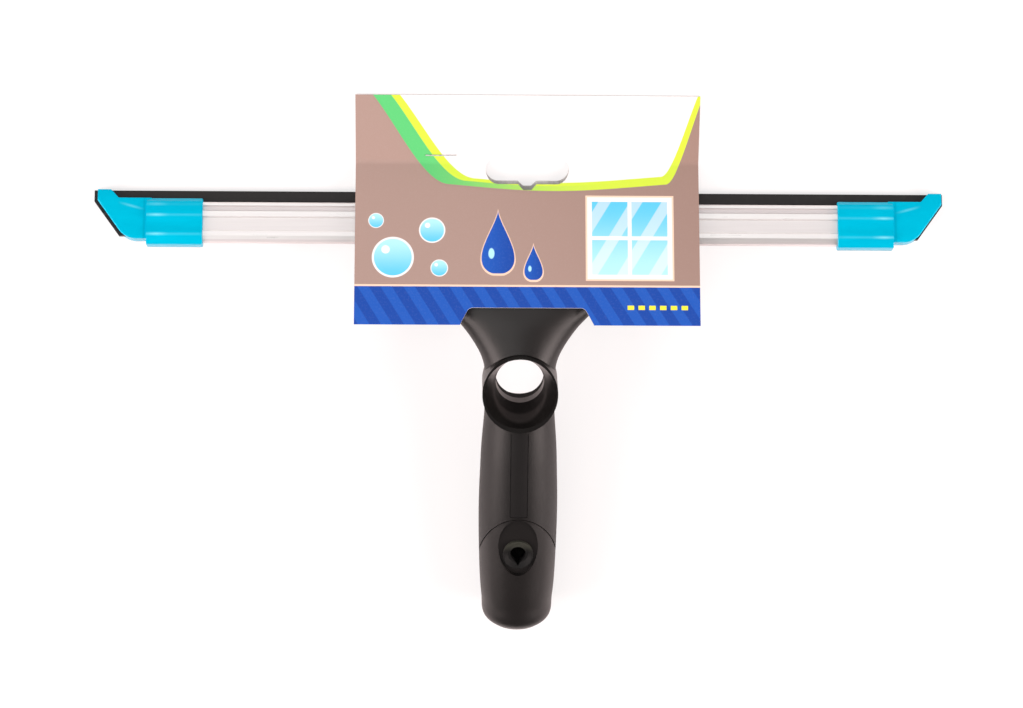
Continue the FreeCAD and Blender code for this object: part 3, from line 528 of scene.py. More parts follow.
@dataclass(frozen=True)
class ClipPlastic(Finish):
    """Smooth cyan plastic with faint flow lines from its gate and a painted highlight where its ribs near
    the wing.

    The painted highlight goes on as a slanting crest over the wing, and the step between them is darkened
    with painted shade. Ribs and crest are counted in millimetres behind the rubber's edge, the other bands
    in millimetres out from the middle.
    """

    edge: Slope
    body: Colour = (0.0, 0.41, 0.6)
    pale: Colour = (0.0, 0.6, 0.8)
    # painted highlight colour along the ribs and the slanting crest
    painted_highlight: Colour = (0.4, 0.92, 1.0)
    # painted shade colour along the step between sleeve and wing
    shade: Colour = (0.0, 0.22, 0.34)
    sheen: Colour = (0.0, 0.8, 1.0)
    roughness: float = 0.22
    specular: float = 0.5
    ribs: tuple[Band, ...] = (Band(11.0, 0.35, 0.6), Band(19.0, 0.35, 0.6), Band(6.4, 0.3, 0.9, 0.5))
    rib_highlight: Band = Band(149.5, 2.6, 3.0, 0.42)
    rib_highlight_share: float = 0.08
    sleeve_end: float = 153.9
    sleeve_soft: float = 0.1
    step: Band = Band(154.7, 0.2, 0.7, 0.45)
    crest: Band = Band(8.5, 0.2, 0.8, 0.3)
    crest_span: Band = Band(160.0, 3.0, 3.0)
    crest_start: float = 154.3
    crest_slant: float = 0.27
    flow: Cloud = Cloud(160.0, 3.0, 0.6, (0.35, 1.0, 1.0))
    flow_range: Range = (0.42, 0.74)
    flow_share: float = 0.15
    flow_sway: float = 0.16
    grain: Cloud = Cloud(1500.0, 2.0, 0.5)
    grain_depth: float = 0.000006

    def material(self) -> bpy.types.Material:
        """Build it.

        Returns:
            The material.
        """
        shader, place = self.start()
        x, y, z = shader.split(place)
        behind = self.edge.along(y, z) / MM
        out = abs(x) / MM
        ribs = sum(rib.mask(behind) for rib in self.ribs) * out.inside(self.sleeve_end, self.sleeve_soft)
        crest = self.crest.mask(behind + (out - self.crest_start) * self.crest_slant)
        crest = crest * self.crest_span.mask(out)
        flow = shader.noise(place, self.flow)
        colour = shader.blend(flow.rise(*self.flow_range) * self.flow_share, self.body, self.pale)
        # painted shade along the step
        colour = shader.blend(self.step.mask(out), colour, self.shade)
        # painted highlight along the ribs and the slanting crest
        colour = shader.blend(ribs * (self.rib_highlight.mask(out) + self.rib_highlight_share) + crest, colour, self.painted_highlight)
        return shader.surface(
            Base_Color=colour,
            Roughness=self.roughness + flow.sway(self.flow_sway),
            Normal=shader.bump(shader.noise(place, self.grain), self.grain_depth),
            Specular_IOR_Level=self.specular,
            Specular_Tint=self.sheen,
        )


@dataclass(frozen=True)
class AnodisedMetal(Finish):
    """Satin anodised aluminium with the fine lines of its drawing along X, its grooves duller than its ribs
    and darkened with painted shade.

    The grooves are counted in millimetres behind the rubber's edge.
    """

    edge: Slope
    metal: Colour = (0.94, 0.93, 0.925)
    # painted shade colour for the grooves, also the tone of the drawing lines
    shade: Colour = (0.77, 0.72, 0.725)
    metallic: float = 0.72
    roughness: float = 0.3
    grooves: tuple[Band, ...] = (
        Band(7.5, 0.95, 0.15),
        Band(14.3, 2.5, 0.3, 0.5),
        Band(21.5, 0.9, 0.3, 0.85),
    )
    groove_shade_share: float = 0.85
    groove_roughness: float = 0.12
    lines: Cloud = Cloud(2400.0, 3.0, 0.65, (0.012, 1.0, 1.0))
    line_range: Range = (0.36, 0.7)
    line_share: float = 0.15
    line_sway: float = 0.12
    line_depth: float = 0.000004
    haze: Cloud = Cloud(45.0, 2.0, 0.5)
    haze_sway: float = 0.06

    def material(self) -> bpy.types.Material:
        """Build it.

        Returns:
            The material.
        """
        shader, place = self.start()
        _, y, z = shader.split(place)
        behind = self.edge.along(y, z) / MM
        groove = sum(groove.mask(behind) for groove in self.grooves)
        lines = shader.noise(place, self.lines)
        haze = shader.noise(place, self.haze).sway(self.haze_sway)
        # painted shade in the grooves, mixed with the drawing lines' own tone
        share = groove * self.groove_shade_share + lines.rise(*self.line_range) * self.line_share
        roughness = self.roughness + groove * self.groove_roughness
        return shader.surface(
            Base_Color=shader.blend(share, self.metal, self.shade),
            Metallic=self.metallic,
            Roughness=roughness + lines.sway(self.line_sway) + haze,
            Normal=shader.bump(lines, self.line_depth),
        )


@dataclass(frozen=True)
class BladeRubber(Finish):
    """Black squeegee rubber with faint lines along its length and a dusting of talc."""

    black: Colour = (0.012, 0.012, 0.012)
    dusty: Colour = (0.03, 0.03, 0.03)
    lines: Cloud = Cloud(1400.0, 2.0, 0.6, (0.02, 1.0, 1.0))
    line_depth: float = 0.000012
    dust: Cloud = Cloud(240.0, 4.0, 0.7)
    dust_range: Range = (0.5, 0.8)
    dust_share: float = 0.5
    dust_sway: float = 0.3
    roughness: float = 0.5
    specular: float = 0.4

    def material(self) -> bpy.types.Material:
        """Build it.

        Returns:
            The material.
        """
        shader, place = self.start()
        dust = shader.noise(place, self.dust)
        return shader.surface(
            Base_Color=shader.blend(dust.rise(*self.dust_range) * self.dust_share, self.black, self.dusty),
            Roughness=self.roughness + dust.sway(self.dust_sway),
            Normal=shader.bump(shader.noise(place, self.lines), self.line_depth),
            Specular_IOR_Level=self.specular,
        )


@dataclass(frozen=True)
class PlainSteel(Finish):
    """Plated steel wire or a ground pin."""

    tone: Colour
    roughness: float
    scuff: Cloud = Cloud(900.0, 3.0)
    scuff_range: Range = (0.4, 0.75)
    scuff_tone: float = 0.7
    scuff_sway: float = 0.3
    scuff_depth: float = 0.000004

    def material(self) -> bpy.types.Material:
        """Build it.

        Returns:
            The material.
        """
        shader, place = self.start()
        scuff = shader.noise(place, self.scuff)
        darker = tuple(self.scuff_tone * part for part in self.tone)
        return shader.surface(
            Base_Color=shader.blend(scuff.rise(*self.scuff_range), self.tone, darker),
            Metallic=1.0,
            Roughness=self.roughness + scuff.sway(self.scuff_sway),
            Normal=shader.bump(scuff, self.scuff_depth),
        )


@dataclass(frozen=True)
class BareBoard(Finish):
    """The unprinted side and the cut edges of the card."""

    board: Colour = (0.74, 0.73, 0.71)
    fibre: Colour = (0.62, 0.6, 0.57)
    fibres: Cloud = Cloud(900.0, 4.0, 0.7, (1.0, 0.3, 1.0))
    fibre_range: Range = (0.4, 0.7)
    fibre_depth: float = 0.00001
    roughness: float = 0.85

    def material(self) -> bpy.types.Material:
        """Build it.

        Returns:
            The material.
        """
        shader, place = self.start()
        fibres = shader.noise(place, self.fibres)
        return shader.surface(
            Base_Color=shader.blend(fibres.rise(*self.fibre_range), self.board, self.fibre),
            Roughness=self.roughness,
            Normal=shader.bump(fibres, self.fibre_depth),
        )


@dataclass(frozen=True)
class Sheet:
    """The card as its design sees it: millimetres across from its middle and down from its top edge."""

    shader: Shader
    across: Value
    down: Value

    def reach(self, x: float, y: float, flatness: float = 1.0) -> Value:
        """How far each place lies from one, with distances down the sheet times a flatness."""
        return (self.across - x).reach((self.down - y) * flatness)


@dataclass(frozen=True)
class Waves:
    """A white bay in the warm grey ground, with a lime and a green band along its left and lower side.

    The bay's line falls from the top edge at the left to 35 mm down at the middle, as a smooth step with a
    small sine on it, and comes back up at the right. Each band's line is the same step moved further left.
    Each row of lines holds how far left it is moved, where it comes back up, its fall and its ink.
    """

    lines: tuple[tuple[float, float, float, Ink | None], ...] = (
        (10.5, 72.0, 46.5, None),
        (3.5, 71.5, 44.4, Ink.LIME),
        (0.0, 70.0, 43.0, Ink.WHITE),
    )
    fall: Range = (-66.0, -22.0)
    climb: Range = (-6.0, 15.0)
    lift: float = 8.0
    swell_rate: float = 0.045
    swell_start: float = 1.1
    swell_height: float = 2.0
    ground_rate: float = 0.006
    ground_start: float = 0.5
    ground_fall: float = 0.004
    ground_range: Range = (0.0, 0.9)
    green_rate: float = -0.012
    green_start: float = 0.45
    shadow: float = 0.9
    shadow_share: float = 0.35

    def paint(self, sheet: Sheet) -> bpy.types.NodeSocket:
        """Paint the ground, the bands' shadow, the green, the lime and the white, in this order.

        Args:
            sheet: the card.

        Returns:
            The colour.
        """
        blend, across, down = sheet.shader.blend, sheet.across, sheet.down
        swell = (across * self.swell_rate + self.swell_start).wave() * self.swell_height
        tone = across * self.ground_rate + self.ground_start - down * self.ground_fall
        colour = blend(tone.rise(*self.ground_range), Ink.GROUND, Ink.GROUND_DARK)
        green = blend((across * self.green_rate + self.green_start).rise(0.0, 1.0), Ink.LIME, Ink.GREEN)
        for shift, right, depth, ink in self.lines:
            step = (across + shift).rise(*self.fall) * (right - across).rise(*self.climb)
            line = step * depth - self.lift + swell
            if ink is None:
                shadow = down.inside(line + self.shadow, self.shadow) * self.shadow_share
                colour = blend(shadow, colour, Ink.GROUND_DARK)
            colour = blend(down.inside(line, INK_EDGE), colour, ink or green)
        return colour


@dataclass(frozen=True)
class Bubble:
    """A soap bubble: a disc with a pale rim and a small highlight, whose sizes are shares of its radius."""

    x: float
    y: float
    radius: float
    film_share: float = 0.9
    glint_shares: tuple[float, float, float] = (0.35, 0.38, 0.2)

    def paint(self, sheet: Sheet, colour: Any) -> bpy.types.NodeSocket:
        """Paint it.

        Args:
            sheet: the card.
            colour: what lies under it.

        Returns:
            The colour with the bubble on it.
        """
        blend, radius = sheet.shader.blend, self.radius
        left, up, size = (share * radius for share in self.glint_shares)
        reach = sheet.reach(self.x, self.y)
        fill = blend((sheet.down - self.y).rise(-radius, radius), Ink.SKY_PALE, Ink.SKY)
        colour = blend(reach.inside(radius, INK_EDGE), colour, Ink.WHITE)
        colour = blend(reach.inside(radius * self.film_share, INK_EDGE), colour, fill)
        glint = sheet.reach(self.x - left, self.y - up)
        return blend(glint.inside(size, GLINT_EDGE), colour, Ink.WHITE)


@dataclass(frozen=True)
class Drop:
    """A water drop with a pale rim, as wide as the root of (1 - v) times (1 + v) to the power 1.5.

    v runs from -1 at the tip, which is up, to 1 at the foot, and tall is half the drop's height.
    """

    x: float
    y: float
    tall: float
    rim: float = 0.9
    width_share: float = 0.385
    edge: float = 0.15
    end: Range = (0.0, 0.04)
    tone_share: float = 0.6
    glint_shares: tuple[float, float, float] = (0.2, 0.35, 0.09)
    glint_flatness: float = 0.55

    def paint(self, sheet: Sheet, colour: Any) -> bpy.types.NodeSocket:
        """Paint it.

        Args:
            sheet: the card.
            colour: what lies under it.

        Returns:
            The colour with the drop on it.
        """
        blend, across = sheet.shader.blend, sheet.across - self.x
        tone = self.tall * self.tone_share
        blue = blend(across.rise(-tone, tone), Ink.STRIPE, Ink.DEEP)
        for tall, fill in ((self.tall + self.rim, Ink.PEACH), (self.tall, blue)):
            v = (sheet.down - self.y) / tall
            lift = (v + 1.0).most(0.0)
            half = (1.0 - v).root() * lift * lift.root() * (self.width_share * tall)
            ends = (v + 1.0).rise(*self.end) * (1.0 - v).rise(*self.end)
            colour = blend((abs(across) - half).inside(0.0, self.edge) * ends, colour, fill)
        left, low, size = (share * self.tall for share in self.glint_shares)
        glint = sheet.reach(self.x - left, self.y + low, self.glint_flatness)
        return blend(glint.inside(size, GLINT_EDGE), colour, Ink.SKY_PALE)


@dataclass(frozen=True)
class Window:
    """A window of four panes in a white frame, with slanting shines across the glass."""

    x: float = 42.0
    y: float = 60.5
    half: float = 15.5
    rim: float = 2.6
    frame: float = 1.9
    half_bar: float = 0.8
    shine_slant: float = 0.6
    shine_gap: float = 13.0
    shine: Band = Band(0.5, 0.2, 0.02, 0.45)

    def paint(self, sheet: Sheet, colour: Any) -> bpy.types.NodeSocket:
        """Paint it.

        Args:
            sheet: the card.
            colour: what lies under it.

        Returns:
            The colour with the window on it.
        """
        blend, across, down = sheet.shader.blend, sheet.across - self.x, sheet.down - self.y
        reach = abs(across).most(abs(down))
        panes = 1.0 - abs(across).least(abs(down)).inside(self.half_bar, INK_EDGE)
        shine = self.shine.mask(((across + down * self.shine_slant) / self.shine_gap).part())
        glass = blend(down.rise(-self.half, self.half), Ink.SKY, Ink.SKY_PALE)
        glass = blend(shine, glass, Ink.WHITE)
        colour = blend(reach.inside(self.half + self.rim, INK_EDGE), colour, Ink.PEACH)
        colour = blend(reach.inside(self.half + self.frame, INK_EDGE), colour, Ink.WHITE)
        return blend(reach.inside(self.half, INK_EDGE) * panes, colour, glass)


@dataclass(frozen=True)
class FootBand:
    """The blue band at the fold with slanting stripes, a thin line on top and a row of short dashes."""

    fold: float
    height: float = 16.1
    below_fold: float = 7.0
    line: float = 0.8
    edge: float = 0.1
    stripe_slant: float = 0.62
    stripe_gap: float = 9.4
    stripe: Band = Band(0.5, 0.25, 0.03, 0.85)
    dash_row: Band = Band(8.6, 0.9, 0.1)
    dash_start: float = 40.0
    dash_gap: float = 4.4
    dash: Band = Band(0.5, 0.3, 0.03)
    dash_span: Band = Band(53.2, 13.2, 0.05)

    def paint(self, sheet: Sheet, colour: Any) -> bpy.types.NodeSocket:
        """Paint it.

        Args:
            sheet: the card.
            colour: what lies under it.

        Returns:
            The colour with the band on it.
        """
        blend, across, down = sheet.shader.blend, sheet.across, sheet.down
        start = self.fold - self.height
        foot = down.inside(self.fold + self.below_fold, self.edge)
        stripes = self.stripe.mask(((across - down * self.stripe_slant) / self.stripe_gap).part())
        blue = blend(stripes, Ink.DEEP, Ink.STRIPE)
        for top, fill in ((start - self.line, Ink.PEACH), (start, blue)):
            colour = blend((1.0 - down.inside(top, self.edge)) * foot, colour, fill)
        dashes = self.dash.mask(((across - self.dash_start) / self.dash_gap).part())
        dashes = dashes * self.dash_row.mask(down - start) * self.dash_span.mask(across)
        return blend(dashes, colour, Ink.YELLOW)


@dataclass(frozen=True)
class CardPrint(Finish):
    """The card's printed face: a generic water design worked out from the sheet's own flat coordinates.

    The UV map named "sheet" holds millimetres across from the middle and millimetres down from the top edge,
    each divided by the sheet's size, so the design stays on the sheet wherever it is folded.
    """

    sheet_width: float
    sheet_length: float
    fold_row: float
    bubbles: tuple[Bubble, ...] = (
        Bubble(-55.0, 69.0, 8.6),
        Bubble(-39.0, 57.5, 5.4),
        Bubble(-36.0, 73.5, 3.6),
        Bubble(-62.0, 53.5, 3.2),
    )
    drops: tuple[Drop, ...] = (Drop(-12.0, 62.5, 13.5), Drop(2.5, 71.0, 7.5))
    ink: Cloud = Cloud(1300.0, 3.0)
    ink_range: Range = (0.45, 0.8)
    ink_share: float = 0.02
    ink_depth: float = 0.000004
    haze: Cloud = Cloud(28.0, 2.0, 0.5)
    haze_sway: float = 0.2
    roughness: float = 0.36
    specular: float = 0.3

    def material(self) -> bpy.types.Material:
        """Build it.

        Returns:
            The material.
        """
        shader, place = self.start()
        flat = shader.node("ShaderNodeUVMap", {"uv_map": "sheet"}, {}).outputs[0]
        u, v, _ = shader.split(flat)
        sheet = Sheet(shader, (u - 0.5) * (self.sheet_width / MM), v * (self.sheet_length / MM))
        colour = Waves().paint(sheet)
        for motif in (*self.bubbles, *self.drops, Window(), FootBand(self.fold_row / MM)):
            colour = motif.paint(sheet, colour)
        ink = shader.noise(place, self.ink)
        haze = shader.noise(place, self.haze)
        return shader.surface(
            Base_Color=shader.blend(ink.rise(*self.ink_range) * self.ink_share, colour, Ink.WHITE),
            Roughness=self.roughness + haze.sway(self.haze_sway),
            Normal=shader.bump(ink, self.ink_depth),
            Specular_IOR_Level=self.specular,
        )


def mesh_piece(name: str, points: np.ndarray, faces: Sequence[Sequence[int]]) -> bpy.types.Object:
    """A new object at the origin.

    Args:
        name: the object's name.
        points: its vertices, one row each.
        faces: its faces as rows of vertex numbers.

    Returns:
        The object, linked into the scene.
    """
    mesh = bpy.data.meshes.new(name)
    mesh.from_pydata(points.tolist(), [], [list(face) for face in faces])
    mesh.validate()
    return linked(name, mesh)


def linked(name: str, data: Any) -> bpy.types.Object:
    """A new object that is linked into the scene.

    Args:
        name: the object's name.
        data: its mesh, lamp or camera.

    Returns:
        The object.
    """
    made = bpy.data.objects.new(name, data)
    bpy.context.scene.collection.objects.link(made)
    return made


def settle(piece: bpy.types.Object) -> None:
    """Apply a piece's modifiers, and shade it smooth up to SMOOTH_ANGLE.

    Args:
        piece: the piece.
    """
    bpy.context.view_layer.update()
    ready = piece.evaluated_get(bpy.context.evaluated_depsgraph_get())
    mesh = bpy.data.meshes.new_from_object(ready)
    piece.modifiers.clear()
    piece.data = mesh
    mesh.polygons.foreach_set("use_smooth", np.ones(len(mesh.polygons), bool))
    mesh.set_sharp_from_angle(angle=math.radians(SMOOTH_ANGLE))


def rounded_outline(corners: Sequence[tuple[float, float, float]], steps: int) -> np.ndarray:
    """A closed outline whose corners are arcs.

    Each corner is cut back by its radius over the tangent of half its angle, and an arc about the point
    where the two inner offsets meet joins the cuts.

    Args:
        corners: (x, y, radius) of each corner in order.
        steps: how many chords an arc has.

    Returns:
        The outline's points, one row each.
    """
    points = np.array([c[:2] for c in corners], float)
    share = np.linspace(0.0, 1.0, steps + 1)[:, None]
    rows = []
    for i, (_, _, radius) in enumerate(corners):
        here, before, after = points[i], points[i - 1], points[(i + 1) % len(points)]
        if radius <= 0.0:
            rows.append(here[None, :])
            continue
        to_before = (before - here) / np.linalg.norm(before - here)
        to_after = (after - here) / np.linalg.norm(after - here)
        half = 0.5 * math.acos(float(np.clip(to_before @ to_after, -1.0, 1.0)))
        middle = to_before + to_after
        centre = here + middle / np.linalg.norm(middle) * radius / math.sin(half)
        start = here + to_before * radius / math.tan(half) - centre
        end = here + to_after * radius / math.tan(half) - centre
        chord = start * (1.0 - share) + end * share
        rows.append(centre + chord / np.linalg.norm(chord, axis=1, keepdims=True) * radius)
    return np.vstack(rows)


def within(outline: np.ndarray, points: np.ndarray) -> np.ndarray:
    """Which points lie in a closed outline, by counting the outline's crossings to their right.

    Args:
        outline: the outline's points in order.
        points: the points to test.

    Returns:
        True for each point inside.
    """
    x, y = points[:, 0:1], points[:, 1:2]
    x1, y1 = outline[:, 0], outline[:, 1]
    x2, y2 = np.roll(x1, -1), np.roll(y1, -1)
    spans = (y1 > y) != (y2 > y)
    rise = np.where(y2 == y1, 1.0, y2 - y1)
    crossing = x1 + (y - y1) * (x2 - x1) / rise
    return (np.sum(spans & (crossing > x), axis=1) % 2).astype(bool)


@dataclass
class Frame:
    """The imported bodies, how their nodes are dressed or copied, and the materials made so far."""

    nodes: dict[str, bpy.types.Object]
    made: dict[Finish, bpy.types.Material] = field(default_factory=dict)
    weld: float = 0.002 * MM
    flat_degrees: float = 1.0
    edge_degrees: float = 25.0
    segments: int = 3

    def material(self, finish: Finish) -> bpy.types.Material:
        """A finish's material, made at its first use."""
        if finish not in self.made:
            self.made[finish] = finish.material()
        return self.made[finish]

    def dress(self, node: str, finish: Finish) -> None:
        """Give a CAD node its finish.

        Args:
            node: the node's name.
            finish: its finish.
        """
        mesh = self.nodes[node].data
        mesh.materials.clear()
        mesh.materials.append(self.material(finish))
        LOG.info("dressed %s with %s", node, finish.name)

    def softened(self, node: str, name: str, bevel: float) -> bpy.types.Object:
        """A copy of a node whose edges are rounded, to stand for it.

        Args:
            node: the node's name.
            name: the copy's name.
            bevel: how far the rounding reaches from each edge.

        Returns:
            The copy.
        """
        mesh = self.nodes[node].data.copy()
        mesh.name = name
        work = bmesh.new()
        work.from_mesh(mesh)
        bmesh.ops.remove_doubles(work, verts=work.verts, dist=self.weld)
        flat = math.radians(self.flat_degrees)
        bmesh.ops.dissolve_limit(work, angle_limit=flat, verts=work.verts, edges=work.edges)
        work.to_mesh(mesh)
        work.free()
        piece = linked(name, mesh)
        rounding = piece.modifiers.new("rounding", "BEVEL")
        rounding.width = bevel
        rounding.segments = self.segments
        rounding.limit_method = "ANGLE"
        rounding.angle_limit = math.radians(self.edge_degrees)
        settle(piece)
        return piece


@dataclass
class RoundedPiece:
    """A node's copy with every edge rounded as moulded, which stands for it and rides on its body."""

    node: str
    name: str
    body: str
    slot: str
    bevel: float

    def build(self, frame: Frame, finish: Finish) -> None:
        """Copy it and dress it.

        Args:
            frame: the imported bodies.
            finish: its finish.
        """
        piece = frame.softened(self.node, self.name, self.bevel)
        piece.data.materials.clear()
        piece.data.materials.append(frame.material(finish))
        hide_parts(self.node)
        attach(piece, self.body)
        LOG.info("built %s: %d faces", self.name, len(piece.data.polygons))


@dataclass
class Blade:
    """The rubber in its channel, with an end clip on each side."""

    rubber: BladeRubber = BladeRubber("blade_rubber", (0.010, 0.009, 0.009), (0.03, 0.029, 0.029))
    nose_run: float = 0.5 * MM
    nose_rise: float = 0.866 * MM
    clip_bevel: float = 0.42 * MM

    def build(self, frame: Frame) -> None:
        """Dress the rubber and the channel, and build the clips.

        Places behind the edge start from the middle of the rubber's square nose.

        Args:
            frame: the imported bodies.
        """
        low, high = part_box("rubber_blade")
        edge = Slope(high.y - self.nose_run, low.z + self.nose_rise, BLADE_SLOPE)
        frame.dress("rubber_blade", self.rubber)
        frame.dress("channel", AnodisedMetal("channel_metal", edge))
        cyan = ClipPlastic("clip_cyan", edge)
        for side in Side:
            name = f"clip_{side.name.lower()}"
            RoundedPiece(f"end_{name}", name, name, "clip_cyan", self.clip_bevel).build(frame, cyan)


@dataclass
class Handle:
    """The handle: hard head, neck and tail, soft skin, darker strip, collar, upper pad, pin and bezel."""

    hard: MouldedPlastic = MouldedPlastic(
        "handle_plastic", dark=(0.0078, 0.0064, 0.0062), light=(0.0102, 0.0086, 0.0083), roughness=0.38
    )
    skin: MouldedPlastic = MouldedPlastic(
        "grip_skin",
        dark=(0.0056, 0.0047, 0.0046),
        light=(0.0076, 0.0065, 0.0063),
        roughness=0.44,
        grain=Cloud(3400.0),
        grain_depth=0.00003,
    )
    strip: MouldedPlastic = MouldedPlastic(
        "inlay_plastic",
        dark=(0.0052, 0.0044, 0.0044),
        light=(0.0066, 0.0057, 0.0057),
        roughness=0.5,
        specular=0.36,
        grain=Cloud(2000.0),
    )
    pin: PlainSteel = PlainSteel("pin_steel", tone=(0.62, 0.62, 0.62), roughness=0.2)
    bezel_bevel: float = 0.2 * MM

    def build(self, frame: Frame) -> None:
        """Dress its nodes and build the bezel.

        Args:
            frame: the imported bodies.
        """
        low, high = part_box("neck_ring")
        axis = Slope((low.y + high.y) / 2, (low.z + high.z) / 2, GRIP_SLOPE)
        finishes = {
            "handle_core": replace(self.hard, bore=Bore(axis)),
            "neck_ring": CollarPlastic("ring_plastic", axis),
            "grip_sleeve": self.skin,
            "grip_inlay": self.strip,
            "jaw_pad_upper": BladeRubber("pad_rubber"),
            "lever_pin": self.pin,
        }
        for node, finish in finishes.items():
            frame.dress(node, finish)
        low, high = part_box("lock_bezel")
        bezel = BezelPlastic("bezel_plastic", low.y, high.y)
        RoundedPiece("lock_bezel", "bezel", "handle", "bezel_olive", self.bezel_bevel).build(frame, bezel)


@dataclass
class Lever:
    """The clamp lever under the head, with its rubber pad."""

    plastic: MouldedPlastic = MouldedPlastic(
        "lever_plastic", dark=(0.01, 0.01, 0.01), light=(0.014, 0.014, 0.014), roughness=0.45, specular=0.5
    )
    bevel: float = 0.4 * MM

    def build(self, frame: Frame) -> None:
        """Dress the pad and build the lever.

        Args:
            frame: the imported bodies.
        """
        frame.dress("jaw_pad_lower", BladeRubber("pad_rubber"))
        RoundedPiece("clamp_lever", "lever", "lever", "lever_black", self.bevel).build(frame, self.plastic)


@dataclass
class CardSleeve:
    """The folded card: one sheet that runs down the front, round the fold, back under and to the header."""

    edge_y: float
    middle_x: float
    width: float
    fold_top: float
    board: float = 0.5 * MM
    wall_share: float = 0.96
    header: float = 41.8 * MM
    crease: float = 13.5 * MM
    fold: float = 44.9 * MM
    heel: float = 20.0 * MM
    crease_radius: float = 5.0 * MM
    fold_radius: float = 0.3 * MM
    heel_radius: float = 0.8 * MM
    fold_steps: int = 9
    column_gap: float = 6.0 * MM
    row_gap: float = 7.0 * MM
    row_digits: int = 7
    join: float = 0.0001 * MM
    notch_shift: float = -0.2 * MM
    notch_top: float = 23.6 * MM
    notch_foot: float = 27.4 * MM
    notch_depth: float = 5.9 * MM
    notch_radius: float = 2.6 * MM
    notch_steps: int = 6
    back_notch_half: float = 44.0 * MM
    back_notch_front: float = 24.0 * MM
    back_notch_strip: float = 3.6 * MM
    strip_radius: float = 0.6 * MM
    back_radius: float = 1.5 * MM
    slot_length: float = 34.3 * MM
    slot_width: float = 10.6 * MM
    slot_reach: float = 10.8 * MM
    slot_round_share: float = 0.995
    slot_steps: int = 8
    tab_half: float = 3.8 * MM
    tab_depth: float = 2.1 * MM
    tab_root_radius: float = 0.5 * MM
    tab_tip_radius: float = 0.6 * MM
    staple: PlainSteel = PlainSteel("staple_steel", tone=(0.88, 0.87, 0.87), roughness=0.5)
    staple_reach: float = 16.4 * MM
    staple_legs: tuple[float, float] = (-41.6 * MM, -29.4 * MM)
    staple_half_hole: float = 0.3 * MM

    def path(self) -> np.ndarray:
        """The sheet's middle line in the YZ plane: its outside moved in by half the board, each fold an arc.

        Two neighbouring lines meet where both are half the board from their own outside line.

        Returns:
            Points (y, z) from the header's top edge all the way round.
        """
        outside = np.array(
            [
                (self.header, 2 * self.board),
                (self.crease, 2 * self.board),
                (-self.fold, self.fold_top),
                (-self.fold - self.board, self.fold_top - self.board),
                (-self.heel, 0.0),
                (self.header, 0.0),
            ]
        )
        along = np.diff(outside, axis=0)
        along /= np.linalg.norm(along, axis=1, keepdims=True)
        inward = np.column_stack([-along[:, 1], along[:, 0]])
        level = np.sum(inward * outside[:-1], axis=1) + self.board / 2
        pairs = np.stack([inward[:-1], inward[1:]], axis=1)
        corners = np.linalg.solve(pairs, np.stack([level[:-1], level[1:]], axis=1)[:, :, None])[:, :, 0]
        radii = (self.crease_radius, self.fold_radius, self.fold_radius, self.heel_radius)
        turns = [(float(y), float(z), radius) for (y, z), radius in zip(corners, radii)]
        start = (self.header, 1.5 * self.board, 0.0)
        end = (self.header, 0.5 * self.board, 0.0)
        return rounded_outline([start, *turns, end], self.fold_steps)

    def rows(self, path: np.ndarray) -> np.ndarray:
        """How far along the sheet each of the path's points lies."""
        return np.concatenate([[0.0], np.cumsum(np.linalg.norm(np.diff(path, axis=0), axis=1))])

    def slot(self) -> np.ndarray:
        """The hang slot: two half circles joined by straight sides, with a shallow bay in its near side.

        Returns:
            Its closed outline (across, along Y from the blade's edge).
        """
        straight = (self.slot_length - self.slot_width) / 2
        near, far = self.slot_reach - self.slot_width / 2, self.slot_reach + self.slot_width / 2
        radius = self.slot_width / 2 * self.slot_round_share
        left = [
            (-straight - radius, far, radius),
            (-straight - radius, near, radius),
            (-self.tab_half, near, self.tab_root_radius),
            (-self.tab_half + self.tab_depth, near - self.tab_depth, self.tab_tip_radius),
        ]
        right = [(-x, y, turn) for x, y, turn in reversed(left)]
        return rounded_outline([*left, *right], self.slot_steps)

    def holes(self, path: np.ndarray, row: np.ndarray) -> list[np.ndarray]:
        """The outlines cut from the flat sheet: the slot through both layers, the notch, the staple's holes.

        Args:
            path: the sheet's middle line.
            row: how far along the sheet each of its points lies.

        Returns:
            Closed outlines (across, along).
        """
        top = int(np.argmax(path[:, 1]))
        low = top + int(np.argmin(path[top:, 1]))

        def on_front(y: Any) -> np.ndarray:
            """How far down the sheet a place across the blade lies on its front."""
            return np.interp(np.negative(y), -path[: top + 1, 0], row[: top + 1])

        def on_back(z: float) -> float:
            """How far down the sheet a height lies on its back."""
            return float(np.interp(-z, -path[top : low + 1, 1], row[top : low + 1]))

        slot = self.slot()
        front = np.column_stack([slot[:, 0], on_front(slot[:, 1])])
        back = np.column_stack([slot[:, 0], row[-1] - (self.header - slot[:, 1])])
        start = float(on_front(-self.fold + self.notch_depth))
        fold = float(row[top])
        strip = on_back(self.fold_top - self.back_notch_strip)
        back_rise = (self.fold_top - self.board) / (self.fold + self.board - self.heel)
        end = on_back((self.back_notch_front - self.heel) * back_rise)
        shift, brow, foot, wide = self.notch_shift, self.notch_top, self.notch_foot, self.back_notch_half
        notch = [
            (shift - brow, start, self.notch_radius),
            (shift + brow, start, self.notch_radius),
            (shift + foot, fold, self.notch_radius),
            (shift + foot, strip, self.strip_radius),
            (shift + wide, strip, self.back_radius),
            (shift + wide, end, self.back_radius),
            (shift - wide, end, self.back_radius),
            (shift - wide, strip, self.back_radius),
            (shift - foot, strip, self.strip_radius),
            (shift - foot, fold, self.notch_radius),
        ]
        leg = self.staple_half_hole
        square = np.array([(-leg, -leg), (leg, -leg), (leg, leg), (-leg, leg)])
        legs = []
        for x in self.staple_legs:
            legs.append(square + (x, float(on_front(self.staple_reach))))
            legs.append(square + (x, row[-1] - (self.header - self.staple_reach)))
        return [front, back, rounded_outline(notch, self.notch_steps), *legs]

